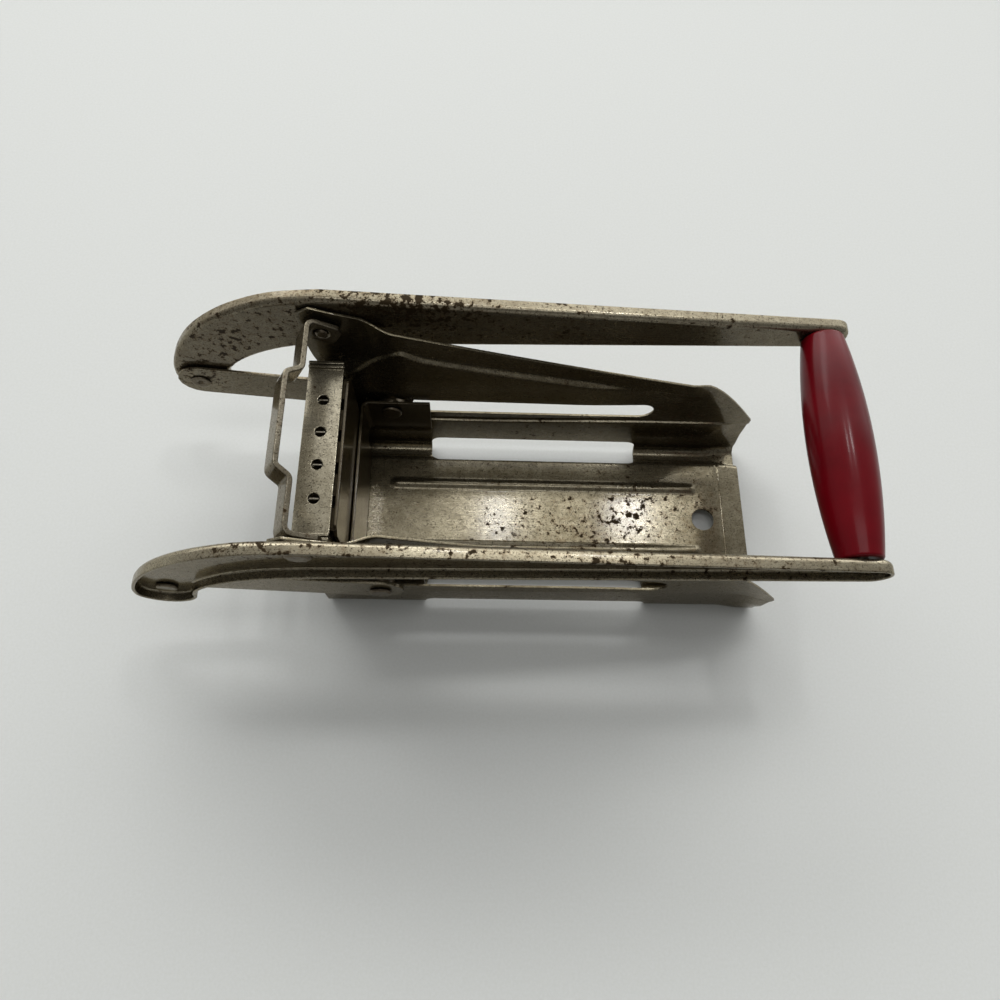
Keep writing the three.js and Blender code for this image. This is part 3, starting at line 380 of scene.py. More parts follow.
def painted_wood():
    r = Recipe("dark_red_gloss_paint")
    drift = r.noise(DRIFT, detail=4)
    rings = r.noise(1.0, detail=3, at=r.stretched(*RINGS))
    waves = r.noise(WAVES, detail=3)
    scratches = r.noise(1.0, detail=3, at=r.stretched(*SCRATCHES))
    return r.set(
        Base_Color=r.blend(r.between(drift, 0.35, 0.7), RED, DEEP_RED),
        Roughness=r.between(scratches, 0.5, 0.85, 0.28, 0.38),
        Normal=r.bump(rings, 0.06, 0.15 * MM, r.bump(waves, 0.1, 0.6 * MM)),
        Specular_IOR_Level=PAINT_GLOSS,
        Coat_Weight=PAINT_COAT,
        Coat_Roughness=PAINT_COAT_ROUGHNESS,
    )


finishes["painted_wood"] = painted_wood()
print("red paint nodes:", len(finishes["painted_wood"].node_tree.nodes))

# %% [markdown]
# ## Putting a finer piece in a packed piece's place
#
# The packed pieces are exact but plain: flat facets that meet in sharp edges. A made edge is never
# that sharp, and its small round is what catches the light. Each piece is therefore made again
# as a finer mesh at the same size and place, and stands in for the packed one.

# %% A helper that hands a finer piece over
def stand_in(name, mesh):
    """The new object for a packed piece, on its body. A finish under its own name comes first."""
    mesh.polygons.foreach_set("use_smooth", [True] * len(mesh.polygons))
    mesh.update()
    piece = bpy.data.objects.new(f"{name}_fine", mesh)
    scene.collection.objects.link(piece)
    mesh.materials.clear()
    mesh.materials.append(finishes.get(name, finishes[slots[name]]))
    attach(piece, bodies[name])
    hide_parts(name)
    return piece


def keep_flats(piece):
    """Lets large faces rule the shading, so that flats stay flat and only edges look round."""
    weighted = piece.modifiers.new("flats", "WEIGHTED_NORMAL")
    weighted.keep_sharp = True


print("packed pieces to stand in for:", len(slots))

# %% [markdown]
# ## The trough
#
# The trough is one sheet of steel, a millimetre thick. A press folds it into a floor with a round
# foot along each side and two walls, and squeezes ribs, a joggle and a raised head into it. Its
# packed solid has few facets, and soft press lines need many. So the sheet is drawn again the way
# a press shapes it: a cross-section in small steps, which changes along the length.

# %% Sizes of the trough in millimetres, with X from the lever's pivot
low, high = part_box("frame")
SHEET = 1.0
WING_REACH = 0.6
REAR_EDGE = (high.x - pivot.x) / MM - WING_REACH
HEAD_LEAD = 3.7
WALL_FRONT = (low.x - pivot.x) / MM + HEAD_LEAD
HEAD_STEP, STRIP_STEP, LOWER_STEP = 3.0, 0.9, 1.1
WALL_MID = high.y / MM - HEAD_STEP - SHEET / 2
PIVOT_HEIGHT = pivot.z / MM
HEAD_TOP = high.z / MM
TAIL_START, TAIL_HEIGHT = 145.5, 56.1
print("trough runs from", round(WALL_FRONT, 1), "to", round(REAR_EDGE, 1), "mm behind the pivot")

# %% [markdown]
# ## Edges and press lines of the wall
#
# The wall's upper edge slopes down from the head and curves into the wing. Below it runs the press
# line, where the sheet steps in from the head's panel, and near the floor a joggle, a small step
# that stiffens the wall. A sculptor's brush could draw these lines, but each is a height that
# depends on the place along the trough, so short functions say it exactly.

# %% Upper edge and joggle
HEAD_CORNER = 4.8
TAIL_SAG, WING_TIP, WING_CURVE = 1.5, 25.4, 1.3
JOGGLE, JOGGLE_RISE, JOGGLE_WIDTH = 24.2, 2.8, 0.5
JOGGLE_CLIMB = (50, 140)
JOGGLE_DIP, JOGGLE_DIP_START = 1, 155


def ease(value, start, end):
    """0 before the start, 1 after the end, and a soft step between."""
    share = min(1.0, max(0.0, (value - start) / (end - start)))
    return share * share * (3 - 2 * share)


def mix(a, b, share):
    return a + (b - a) * share


def wall_top(x):
    """Upper edge of the wall: a long slope with a slight sag, then the curve of the wing."""
    slope_start = WALL_FRONT - HEAD_LEAD + HEAD_CORNER
    along = (x - slope_start) / (TAIL_START - slope_start)
    if along <= 1:
        return mix(HEAD_TOP, TAIL_HEIGHT, along) - TAIL_SAG * 4 * along * (1 - along)
    wing = (x - TAIL_START) / (REAR_EDGE + WING_REACH - TAIL_START)
    return mix(TAIL_HEIGHT, WING_TIP, wing**WING_CURVE)


def joggle_height(x):
    """Height of the joggle: it climbs a little to the rear and dips again into the wing."""
    dip = (JOGGLE_RISE + JOGGLE_DIP) * ease(x, JOGGLE_DIP_START, REAR_EDGE)
    return JOGGLE + JOGGLE_RISE * ease(x, *JOGGLE_CLIMB) - dip


print("upper edge at the wing:", round(wall_top(TAIL_START), 1), "mm high")

# %% Press line and what it steps between
HEAD_RADIUS, HEAD_BLEND, HEAD_BELOW, HEAD_CENTRE = 18.6, 12.0, 28.9, 8.0
HEAD_RUN = (3, 28.5)
PEAK_HEIGHT, PEAK_PLACE, PEAK_WIDTH = 2.6, 26.5, 5
STRIP_FRONT, STRIP_REAR = 13.2, 8.9
PANEL_END = TAIL_START - 7
LEAN, LEAN_RUN = 2.5, 45.0
LEAN_START = (HEAD_RADIUS - 4, HEAD_RADIUS + 10)


def press_line(x):
    """Height of the pressed line, which follows the upper edge and dips under the head."""
    strip = mix(STRIP_FRONT, STRIP_REAR, ease(x, HEAD_RADIUS, TAIL_START))
    base = joggle_height(x) + JOGGLE_WIDTH / 2
    edge = wall_top(x) - base
    taper = min(strip / edge, 1 - STRIP_REAR / (TAIL_HEIGHT - JOGGLE))
    behind = base + edge * (1 - taper)
    peak = PEAK_HEIGHT * math.exp(-(((x - PEAK_PLACE) / PEAK_WIDTH) ** 2))
    return mix(PIVOT_HEIGHT - HEAD_BELOW, behind, ease(x, *HEAD_RUN)) + peak


def panel_step(x, z):
    """How far the wall above the press line stands out: most on the head, whose rim is round."""
    below = min(0.0, z - PIVOT_HEIGHT + HEAD_CENTRE)
    away = math.hypot(max(x, 0.0), below)
    fade = ease(x, PANEL_END, TAIL_START)
    start, end = HEAD_RADIUS - HEAD_BLEND / 2, HEAD_RADIUS + HEAD_BLEND / 2
    return mix(HEAD_STEP, -STRIP_STEP * (1 - fade), ease(away, start, end))


def wall_lean(x):
    """How far the wall leans in at the press line, between the head and the wing."""
    return LEAN * ease(x, *LEAN_START) * (1 - ease(x, PANEL_END - LEAN_RUN, PANEL_END))


print("press line in mid trough:", round(press_line(TAIL_START / 2), 1), "mm high")

# %% [markdown]
# ## Bends across the sheet, and ribs
#
# The wings turn outwards behind a slanting crease, and the floor's rear edge bends down a little.
# Ribs stiffen the floor and guide the grid. A crease is a bend that starts softly, so one
# function of the distance past it serves both, and a rib is a raised cosine with round ends.

# %% Wing and lip
FLARE_PLACE, FLARE_LEAN, FLARE_SLOPE, FLARE_SOFTNESS = 165.0, 20.0, 0.17, 1.2
FLARE_BASE, FLARE_HEIGHT, FLARE_CURVE = 12, 42.5, 1.5
FLARE_STARTS = (5, 14)
LIP_START, LIP_DROP, LIP_SOFTNESS = REAR_EDGE - 9.8, 1.4, 0.3
LIP_CREASE, LIP_CREASE_WIDTH = 0.22, 0.55


def bent(past, softness):
    """0 before a crease and the distance past it behind it, with a soft turn between."""
    return 0.5 * (past + math.sqrt(past * past + softness))


def flare(x, z):
    """How far the wing turns outwards, behind a crease that slants down to the rear."""
    height = max(0.0, z - FLARE_BASE) / FLARE_HEIGHT
    past = x - FLARE_PLACE + FLARE_LEAN * height**FLARE_CURVE
    return FLARE_SLOPE * bent(past, FLARE_SOFTNESS) * ease(z, *FLARE_STARTS)


def lip_drop(x):
    """The floor bends down behind a crease near the rear edge."""
    past = x - LIP_START
    crease = LIP_CREASE * math.exp(-((past / LIP_CREASE_WIDTH) ** 2))
    return bent(past, LIP_SOFTNESS) * LIP_DROP / (REAR_EDGE - LIP_START) + crease


print("wing's tip turns out by", round(flare(REAR_EDGE, WING_TIP), 1), "mm")

# %% Ribs pressed into the sheet
RIB_OFFSET, RIB_HALF, RIB_HEIGHT = 14.2, 2.9, 0.9
RIB_FRONT, RIB_REAR = WALL_FRONT + 22.7, REAR_EDGE - 20.1
GUIDE_X, GUIDE_HALF, GUIDE_DEPTH = 2.6, 2.0, 2.45
GUIDE_LOW, GUIDE_HIGH = JOGGLE + 5.1, PIVOT_HEIGHT - HEAD_BELOW - 3.0


def rib(along, across, start, end, half):
    """Share of a rib's height at a place along it and across it. Its ends are round."""
    past = max(start + half - along, along - end + half, 0.0)
    away = math.hypot(past, across) / half
    return 0.5 + 0.5 * math.cos(math.pi * away) if away < 1 else 0.0


def floor_rib(x, y):
    return RIB_HEIGHT * rib(x, y - RIB_OFFSET, RIB_FRONT, RIB_REAR, RIB_HALF)


def guide_rib(x, z):
    share = rib(z, x - GUIDE_X, GUIDE_LOW, GUIDE_HIGH, GUIDE_HALF)
    return GUIDE_DEPTH * math.sqrt(share)


print("floor ribs run", round(RIB_REAR - RIB_FRONT), "mm")

# %% [markdown]
# ## Cross-section of the trough
#
# Seen from the end, half the sheet is one line: floor, rolled foot, corner, lower wall, joggle,
# wall, press line and panel. The line is made once as rows of points in the sheet's middle, each
# with the way its outer face points. Rows lie closer where the sheet bends.

# %% Floor, foot and corner
FLOOR, FLOOR_HALF, CORNER = 6.3, 25.0, 4.2
INNER_ROWS, OUTER_ROWS = (0, 3, 6, 9), (19, 22, FLOOR_HALF)
RIB_MARGIN, RIB_STEPS, TURN_STEPS = 0.7, 14, 8
LOWER_FADE = (156, 168)


def steps(start, end, count):
    return [start + (end - start) * i / count for i in range(count + 1)]


def lower_step(x):
    """How far the wall stands in below the joggle. The step fades out in the wing."""
    return LOWER_STEP * (1 - ease(x, *LOWER_FADE))


def floor_rows(x):
    """Middle line of the floor's half, the foot bead and the corner below the wall."""
    floor = FLOOR - lip_drop(x)
    radius = (floor - SHEET / 2) / 2
    inner = RIB_OFFSET - RIB_HALF
    rib_rows = steps(inner - RIB_MARGIN, RIB_OFFSET + RIB_HALF + RIB_MARGIN, RIB_STEPS)
    flat = [*INNER_ROWS, *rib_rows, *OUTER_ROWS]
    rows = [(y, floor + floor_rib(x, y), 0.0, -1.0) for y in flat]
    for turn in steps(0, math.pi / 2, TURN_STEPS)[1:]:
        across, down = math.sin(turn), math.cos(turn)
        rows.append((FLOOR_HALF + radius * across, floor - radius + radius * down, -across, -down))
    for turn in steps(math.pi / 2, 0, TURN_STEPS)[1:]:
        across, down = math.sin(turn), math.cos(turn)
        centre = (FLOOR_HALF + 2 * radius, SHEET / 2 + radius)
        rows.append((centre[0] - radius * across, centre[1] - radius * down, -across, -down))
    centre = (WALL_MID - lower_step(x) - CORNER, SHEET / 2 + CORNER)
    for turn in steps(0, math.pi / 2, TURN_STEPS):
        across, down = math.sin(turn), math.cos(turn)
        rows.append((centre[0] + CORNER * across, centre[1] - CORNER * down, across, -down))
    return rows


print("rows from the middle of the floor to the wall:", len(floor_rows(TAIL_START / 2)))

# %% Wall
WALL_LOW, JOGGLE_MARGIN, LEAST_ROOM = 6.5, 0.5, 0.1
LINE_WIDTH = 2.4
LOWER_STEPS, WALL_STEPS = 5, 12
PANEL_SHARES = (0.06, 0.12, 0.18, 0.25, 0.33, 0.42, 0.52, 0.62, 0.72, 0.82, 0.92, 1.0)
HEAD_CUT = (HEAD_LEAD - HEAD_CORNER) / HEAD_LEAD
HEAD_EDGE = [(0, 0), (0.2, 0.6), (0.45, 0.9), (0.7, 0.98), (0.92, 1), (1, HEAD_CUT)]


def head_outline(share):
    """How far the head's front edge reaches ahead, from its lower end to its cut upper corner."""
    for (a, low_reach), (b, high_reach) in zip(HEAD_EDGE, HEAD_EDGE[1:]):
        if share <= b:
            return mix(low_reach, high_reach, (share - a) / (b - a))
    return HEAD_CUT


def wall_rows(x):
    """Middle line of a wall above the corner: place across, height, and how far its ends reach."""
    line, top, joggle = press_line(x), wall_top(x), joggle_height(x)
    room = max(LEAST_ROOM, min(LINE_WIDTH, (top - line) / 2))
    step, lean = lower_step(x), wall_lean(x)
    lower = steps(WALL_LOW, joggle - JOGGLE_WIDTH / 2 - JOGGLE_MARGIN, LOWER_STEPS)
    rows = [(WALL_MID - step, z, 0.0, 0.0) for z in lower]
    for share in steps(0, 1, TURN_STEPS):
        z = joggle + JOGGLE_WIDTH * (share - 0.5)
        rows.append((WALL_MID - step * (1 - ease(share, 0, 1)), z, 0.0, 1.0))
    for share in steps(0, 1, WALL_STEPS)[1:-1]:
        z = mix(joggle + JOGGLE_WIDTH / 2, line, share)
        rows.append((WALL_MID - lean * share, z, 0.0, 1.0))
    for share in steps(0, 1, TURN_STEPS):
        y = mix(-lean, panel_step(x, line + room), ease(share, 0, 1))
        rows.append((WALL_MID + y, line + room * share, 0.0, 1.0))
    for share in PANEL_SHARES:
        z = mix(line + room, top, share)
        rows.append((WALL_MID + panel_step(x, z), z, head_outline(share), 1.0))
    return rows


def half_section(x):
    """Each row: place across, height, outward normal, reach ahead and reach behind."""
    rows = [(y, z, ny, nz, 0.0, 0.0) for y, z, ny, nz in floor_rows(x)]
    for y, z, lead, reach in wall_rows(x):
        y += flare(x, z) - guide_rib(x, z)
        rows.append((y, z, 1.0, 0.0, lead, reach))
    return rows


print("rows in half a section:", len(half_section(TAIL_START / 2)))

# %% [markdown]
# ## The folded sheet
#
# The cross-section is drawn at many stations along the trough, closer together where a press line
# or a rib ends, and neighbouring stations are joined by four-sided faces. Each row is doubled,
# half a thickness to either side, which gives the sheet its real thickness and its cut edges.

# %% Stations along the sheet, by start, end and count
STATIONS = [
    (WALL_FRONT, 0, 6),
    (0.4, 4.8, 11),
    (5.6, 30, 24),
    (32.5, RIB_REAR - 4, 48),
    (RIB_REAR - 3, RIB_REAR + 1, 10),
    (RIB_REAR + 2, LIP_START - 1.4, 7),
    (LIP_START - 1, LIP_START + 1, 8),
    (LIP_START + 2, REAR_EDGE, 8),
]
stations = [x for run in STATIONS for x in steps(*run)]


def sheet_column(x):
    """The two faces of the sheet at one place along it, from the near edge to the far one."""
    to_front = 1 - ease(x, WALL_FRONT, -WALL_FRONT)
    to_rear = ease(x, TAIL_START, REAR_EDGE)
    half = []
    for y, z, ny, nz, lead, reach in half_section(x + WING_REACH * to_rear):
        place = x - HEAD_LEAD * lead * to_front + WING_REACH * reach * to_rear
        outer = (place, y + ny * SHEET / 2, z + nz * SHEET / 2)
        inner = (place, y - ny * SHEET / 2, z - nz * SHEET / 2)
        half.append((outer, inner))
    mirrored = [[(px, -py, pz) for px, py, pz in pair] for pair in reversed(half[1:])]
    return [*mirrored, *half]


print("stations:", len(stations))


# %% The sheet's mesh
def finished_mesh(shape, name):
    """A mesh from a shape whose faces all point outwards. The shape is used up."""
    bmesh.ops.recalc_face_normals(shape, faces=shape.faces)
    mesh = bpy.data.meshes.new(name)
    shape.to_mesh(mesh)
    shape.free()
    return mesh


def thick_sheet(name, columns):
    """A closed sheet from columns of point pairs, one point of each pair on either face."""
    shape = bmesh.new()
    made = [
        [[shape.verts.new((pivot.x + x * MM, y * MM, z * MM)) for x, y, z in pair] for pair in column]
        for column in columns
    ]
    for a, b in zip(made, made[1:]):
        for (a0, a1), (b0, b1) in zip(zip(a, a[1:]), zip(b, b[1:])):
            shape.faces.new((a0[0], b0[0], b1[0], a1[0]))
            shape.faces.new((a0[1], a1[1], b1[1], b0[1]))
        shape.faces.new((a[0][0], a[0][1], b[0][1], b[0][0]))
        shape.faces.new((a[-1][0], b[-1][0], b[-1][1], a[-1][1]))
    for a0, a1 in zip(made[0], made[0][1:]):
        shape.faces.new((a0[0], a1[0], a1[1], a0[1]))
    for a0, a1 in zip(made[-1], made[-1][1:]):
        shape.faces.new((a0[0], a0[1], a1[1], a1[0]))
    return finished_mesh(shape, name)


folded = thick_sheet("folded_trough", [sheet_column(x) for x in stations])
print("facets of the folded sheet:", len(folded.polygons))

# %% [markdown]
# ## Openings in the trough
#
# Slots for the pusher's pins, the long cuts along the feet, the pivot holes and the hole it hangs
# by are punched through the finished sheet. A Boolean does the same: the punches are plain
# prisms, joined in one mesh, and taken away from the sheet in one step. The bevel comes after,
# so that the punched edges get their small round too.

# %% Outlines and prisms
SHY = 0.001  # keeps a short flat between round corners that would meet in one point


def skinned(name, rings):
    """A closed mesh over a row of rings of points, with a face over its first and last ring."""
    shape = bmesh.new()
    made = [[shape.verts.new(point) for point in ring] for ring in rings]
    for a, b in zip(made, made[1:]):
        for i in range(len(a)):
            j = (i + 1) % len(a)
            shape.faces.new((a[i], a[j], b[j], b[i]))
    shape.faces.new(made[0])
    shape.faces.new(made[-1])
    return finished_mesh(shape, name)


def prism(outline, axis, start, end):
    """A closed prism over an outline. Its axis is Y for an outline in X and Z, and Z for X and Y."""
    place = (lambda a, b, c: (a, c, b)) if axis == "Y" else (lambda a, b, c: (a, b, c))
    shift = Vector((pivot.x, 0, 0))
    rings = [[Vector(place(a, b, c)) * MM + shift for a, b in outline] for c in (start, end)]
    return skinned("punch", rings)


def rounded_outline(corners, radius, count=8):
    """A rectangle's outline with round corners: corners are its least and greatest places."""
    (a0, b0), (a1, b1) = corners
    centres = [(a1 - radius, b0 + radius, -90), (a1 - radius, b1 - radius, 0)]
    centres += [(a0 + radius, b1 - radius, 90), (a0 + radius, b0 + radius, 180)]
    points = []
    for a, b, start in centres:
        for turn in steps(math.radians(start), math.radians(start + 90), count):
            points.append((a + radius * math.cos(turn), b + radius * math.sin(turn)))
    return points


def round_outline(a, b, radius, count=8):
    """A circle's outline about a place, as a square whose corners are all but round."""
    corners = ((a - radius, b - radius), (a + radius, b + radius))
    return rounded_outline(corners, radius - SHY, count)


print("points round a hole:", len(round_outline(0, 0, 1.0)))


# %% Joining and cutting meshes
def combined(base, other, operation):
    """The mesh that a Boolean leaves of a base and another mesh."""
    first = bpy.data.objects.new("first", base)
    second = bpy.data.objects.new("second", other)
    for part in (first, second):
        scene.collection.objects.link(part)
    modifier = first.modifiers.new("boolean", "BOOLEAN")
    modifier.operation = operation
    modifier.object = second
    modifier.solver = "EXACT"
    graph = bpy.context.evaluated_depsgraph_get()
    made = bpy.data.meshes.new_from_object(first.evaluated_get(graph))
    for part in (first, second):
        bpy.data.objects.remove(part)
    return made


def together(meshes):
    shape = bmesh.new()
    for mesh in meshes:
        shape.from_mesh(mesh)
    joined = bpy.data.meshes.new("punches")
    shape.to_mesh(joined)
    shape.free()
    return joined


print("facets to punch:", len(folded.polygons))

# %% Punching
SLOT_HALF, SLOT_HEIGHT = 5.5, 35.5
SLOT_START, SLOT_END, SLOT_STEPS = 20.0, 122.8, 12
FOOT_CUT_START, FOOT_CUT_END, FOOT_CUT_ROUND = 35.5, 126.9, 4.0
FOOT_CUT_TOP = 7.3
PIVOT_BORE = 2.8
HANG_HOLE, HANG_SETBACK, HANG_STEPS = 4.8, 18.5, 10
PAST = 4.0  # how far a punch runs past the sheet


def foot_punch(side):
    """Cuts the foot away in mid trough, round in plan and in side view."""
    inner, outer = FLOOR_HALF + SHEET, WALL_MID + PAST + FOOT_CUT_ROUND
    plan = rounded_outline(((FOOT_CUT_START, inner), (FOOT_CUT_END, outer)), FOOT_CUT_ROUND)
    lowest = -2 * PAST
    view = rounded_outline(((FOOT_CUT_START, lowest), (FOOT_CUT_END, FOOT_CUT_TOP)), FOOT_CUT_ROUND)
    upright = prism([(x, side * y) for x, y in plan], "Z", -PAST, FOOT_CUT_TOP + PAST)
    level = prism(view, "Y", side * (inner - PAST), side * (outer + PAST))
    return combined(upright, level, "INTERSECT")


def wall_punches(side):
    """Cuts the pusher pin's slot and the pivot rivet's hole."""
    inside, outside = side * (WALL_MID - 2 * PAST), side * (WALL_MID + 2 * PAST)
    slot_low = (SLOT_START - SLOT_HALF, SLOT_HEIGHT - SLOT_HALF)
    slot_high = (SLOT_END + SLOT_HALF, SLOT_HEIGHT + SLOT_HALF)
    slot = rounded_outline((slot_low, slot_high), SLOT_HALF - SHY, SLOT_STEPS)
    bore = round_outline(0, PIVOT_HEIGHT, PIVOT_BORE)
    return [prism(outline, "Y", inside, outside) for outline in (slot, bore)]


hole = round_outline(REAR_EDGE - HANG_SETBACK, 0, HANG_HOLE, HANG_STEPS)
punches = [foot_punch(1), foot_punch(-1), *wall_punches(1), *wall_punches(-1)]
punches.append(prism(hole, "Z", -PAST, 3 * PAST))
trough = combined(folded, together(punches), "DIFFERENCE")
print("facets of the punched trough:", len(trough.polygons))

# %% Rounded edges of the trough
EDGE_ANGLE = math.radians(36)
EDGE_SEGMENTS = 2
TROUGH_EDGE = 0.18


def round_edges(piece, width):
    bevel = piece.modifiers.new("cut edges", "BEVEL")
    bevel.width = width * MM
    bevel.segments = EDGE_SEGMENTS
    bevel.limit_method = "ANGLE"
    bevel.angle_limit = EDGE_ANGLE
    bevel.use_clamp_overlap = False
    bevel.miter_outer = "MITER_ARC"
    keep_flats(piece)


round_edges(stand_in("frame", trough), TROUGH_EDGE)
print("trough made, its edges rounded by", TROUGH_EDGE, "mm")

# %% [markdown]
# ## Pressed sheet with rounded edges
#
# The grid, the blades, the pusher, the links and the bail are sheet metal too. They could
# be modelled from nothing, but their packed shapes are right, so a copy is enough: joined facets,
# and a bevel on every edge that turns by more than a gentle curve does. The bevel stays under half
# a millimetre, as on a deburred cut edge, and on the thin blades under a tenth.

# %% Sheet pieces
JOIN_DISTANCE = 0.002 * MM
FLAT_ANGLE = math.radians(0.4)


def sheet_copy(name, edge):
    mesh = nodes[name].data.copy()
    mesh.name = f"{name}_sheet"
    shape = bmesh.new()
    shape.from_mesh(mesh)
    bmesh.ops.remove_doubles(shape, verts=shape.verts, dist=JOIN_DISTANCE)
    bmesh.ops.dissolve_limit(shape, angle_limit=FLAT_ANGLE, verts=shape.verts, edges=shape.edges)
    shape.to_mesh(mesh)
    shape.free()
    round_edges(stand_in(name, mesh), edge)


edge_rounds = {"grid_frame": 0.28, "pusher_bracket": 0.25, "retaining_bail": 0.4}
edge_rounds.update({"link_far": 0.3, "link_near": 0.3, "pusher_face": 0.3})
edge_rounds.update({name: 0.08 for name in nodes if name.startswith("blade_")})
for name, edge in edge_rounds.items():
    sheet_copy(name, edge)
print("sheet pieces:", len(edge_rounds))

# %% [markdown]
# ## Turned pieces
#
# Rivets, pins and the handle's rod are round about an axis. The packed ones have few sides. Their
# profile is read off one side, its corners are rounded, and it is spun again with many more
# sides, as a lathe would. Blender's Spin tool does the same to a drawn line, but code can take the
# line from the packed piece, so every rivet keeps its own size.

# %% Reading a profile
ON_AXIS = 0.01 * MM
SAME_SIDE = math.radians(1)


def profile_of(name):
    """The radius and place of each point of a turned piece's profile, along its axis on Y."""
    shape = bmesh.new()
    shape.from_mesh(nodes[name].data)
    bmesh.ops.remove_doubles(shape, verts=shape.verts, dist=JOIN_DISTANCE)
    low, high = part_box(name)
    axis = (low + high) / 2
    points = {}
    for vert in shape.verts:
        out = vert.co - axis
        points[vert] = (math.hypot(out.x, out.z), vert.co.y, math.atan2(out.z, out.x))
    seam = max(points.values())[2]
    same = {v for v, (r, _, a) in points.items() if r < ON_AXIS or abs(a - seam) < SAME_SIDE}
    ends = [v for v in same if points[v][0] < ON_AXIS]
    step = min(ends, key=lambda v: points[v][1])
    walked = [step]
    while step:
        near = [edge.other_vert(step) for edge in step.link_edges]
        step = next((v for v in near if v in same and v not in walked), None)
        if step:
            walked.append(step)
    profile = [points[v][:2] for v in walked]
    shape.free()
    return axis, profile


print("points in the rod's profile:", len(profile_of("handle_rod")[1]))

# %% Rounding and spinning a profile
SIDES, ROUND_STEPS = 48, 4
MOST_OF_AN_EDGE = 0.45  # so that the rounds at an edge's two ends never meet


def rounded(profile, radius):
    """Each inner corner of a profile, replaced by a short curve."""
    made = [Vector(profile[0])]
    for before, corner, after in zip(profile, profile[1:], profile[2:]):
        before, corner, after = Vector(before), Vector(corner), Vector(after)
        back = min(radius, (before - corner).length * MOST_OF_AN_EDGE)
        ahead = min(radius, (after - corner).length * MOST_OF_AN_EDGE)
        start = corner + (before - corner).normalized() * back
        end = corner + (after - corner).normalized() * ahead
        for share in steps(0, 1, ROUND_STEPS):
            first = start.lerp(corner, share)
            made.append(first.lerp(corner.lerp(end, share), share))
    made.append(Vector(profile[-1]))
    return made


def spun(name, axis, profile, sides=SIDES):
    """A mesh turned from a profile of radius and place, about an axis along Y."""
    shape = bmesh.new()
    turns = [math.tau * i / sides for i in range(sides)]
    rings = []
    for radius, y in profile:
        if radius < ON_AXIS:
            rings.append([shape.verts.new((axis.x, y, axis.z))])
            continue
        ring = [(axis.x + radius * math.cos(t), y, axis.z + radius * math.sin(t)) for t in turns]
        rings.append([shape.verts.new(place) for place in ring])
    for a, b in zip(rings, rings[1:]):
        for i in range(sides):
            j = (i + 1) % sides
            corners = [a[i % len(a)], b[i % len(b)], b[j % len(b)], a[j % len(a)]]
            unique = list(dict.fromkeys(corners))
            if len(unique) > 2:
                shape.faces.new(unique)
    return finished_mesh(shape, name)


print("sides of a turned piece:", SIDES)

# %% [markdown]
# ## Clinched rivets
#
# The tip rivets are tubular: a punch spreads the hollow end into a lip, so the end that is seen
# from inside has a small sunk hole. A few points more in the profile, before it is spun, make it.

# %% Rivets, pins and the rod
TURNED_ROUND = 0.35 * MM
CLINCH_DEPTH, CLINCH_FLOOR, CLINCH_MOUTH = 0.7 * MM, 0.85 * MM, 1.1 * MM


def hollowed(profile):
    """A tubular rivet's clinched end: its end towards the trough is sunk, inside a narrow lip."""
    inner = min(profile[0], profile[-1], key=lambda point: abs(point[1]))
    sunk = inner[1] + math.copysign(CLINCH_DEPTH, inner[1])
    lip = [(0.0, sunk), (CLINCH_FLOOR, sunk), (CLINCH_MOUTH, inner[1])]
    return [*lip, *profile[1:]] if inner == profile[0] else [*profile[:-1], *reversed(lip)]


turned_nodes = [name for name, slot in slots.items() if slot == "rivet_steel"]
for name in turned_nodes:
    axis, profile = profile_of(name)
    profile = rounded(profile, TURNED_ROUND)
    if name.startswith("tip_rivet_tail"):
        profile = hollowed([tuple(point) for point in profile])
    keep_flats(stand_in(name, spun(f"{name}_turned", axis, profile)))
print("turned pieces:", len(turned_nodes))

# %% [markdown]
# ## The handle
#
# The grip is a long barrel, thickest in the middle. A cylinder with two subdivisions would come
# close, but the curve is simple to write: its radius falls with the square of the distance from
# the middle. The ends are turned over a small round, and then drop to the rod's hole.

# %% Handle
GRIP_END, GRIP_ROUND, GRIP_BORE = 7.2 * MM, 1.0 * MM, 2.8 * MM
GRIP_STEPS, GRIP_ROUND_STEPS, GRIP_SIDES = 60, 6, 96


def handle():
    low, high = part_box("handle_grip")
    axis = (low + high) / 2
    half = (high.y - low.y) / 2
    widest = (high.x - low.x) / 2
    barrel = []
    for share in steps(-1, 1, GRIP_STEPS):
        y = (half - GRIP_ROUND) * share
        barrel.append((widest - (widest - GRIP_END) * (y / half) ** 2, axis.y + y))
    flat = barrel[0][0] - GRIP_ROUND
    corner = []
    for turn in steps(0, math.pi / 2, GRIP_ROUND_STEPS):
        radius = flat + GRIP_ROUND * math.sin(turn)
        corner.append((radius, low.y + GRIP_ROUND * (1 - math.cos(turn))))
    far_corner = [(radius, high.y + low.y - y) for radius, y in reversed(corner)]
    profile = [(GRIP_BORE, low.y + half), (GRIP_BORE, low.y), *corner, *barrel[1:-1], *far_corner]
    profile += [(GRIP_BORE, high.y), (GRIP_BORE, low.y + half)]
    return spun("handle_barrel", axis, profile, GRIP_SIDES)


grip = stand_in("handle_grip", handle())
print("facets of the grip:", len(grip.data.polygons))

# %% [markdown]
# ## The lever's arms
#
# Each arm is a pressed channel: a web with a rim all round, bent over a small radius. It is the
# largest curve in the picture, so it gets a finer outline than its packed solid. The outline is
# a smooth curve through a few points, and the section is a row of rings: the same outline drawn
# in by a little more, at a place a little further along. Skinning the rings makes the channel.

# %% Curves of an outline
SHARPEST_CORNER = 0.5  # keeps a sharp corner from reaching too far inwards


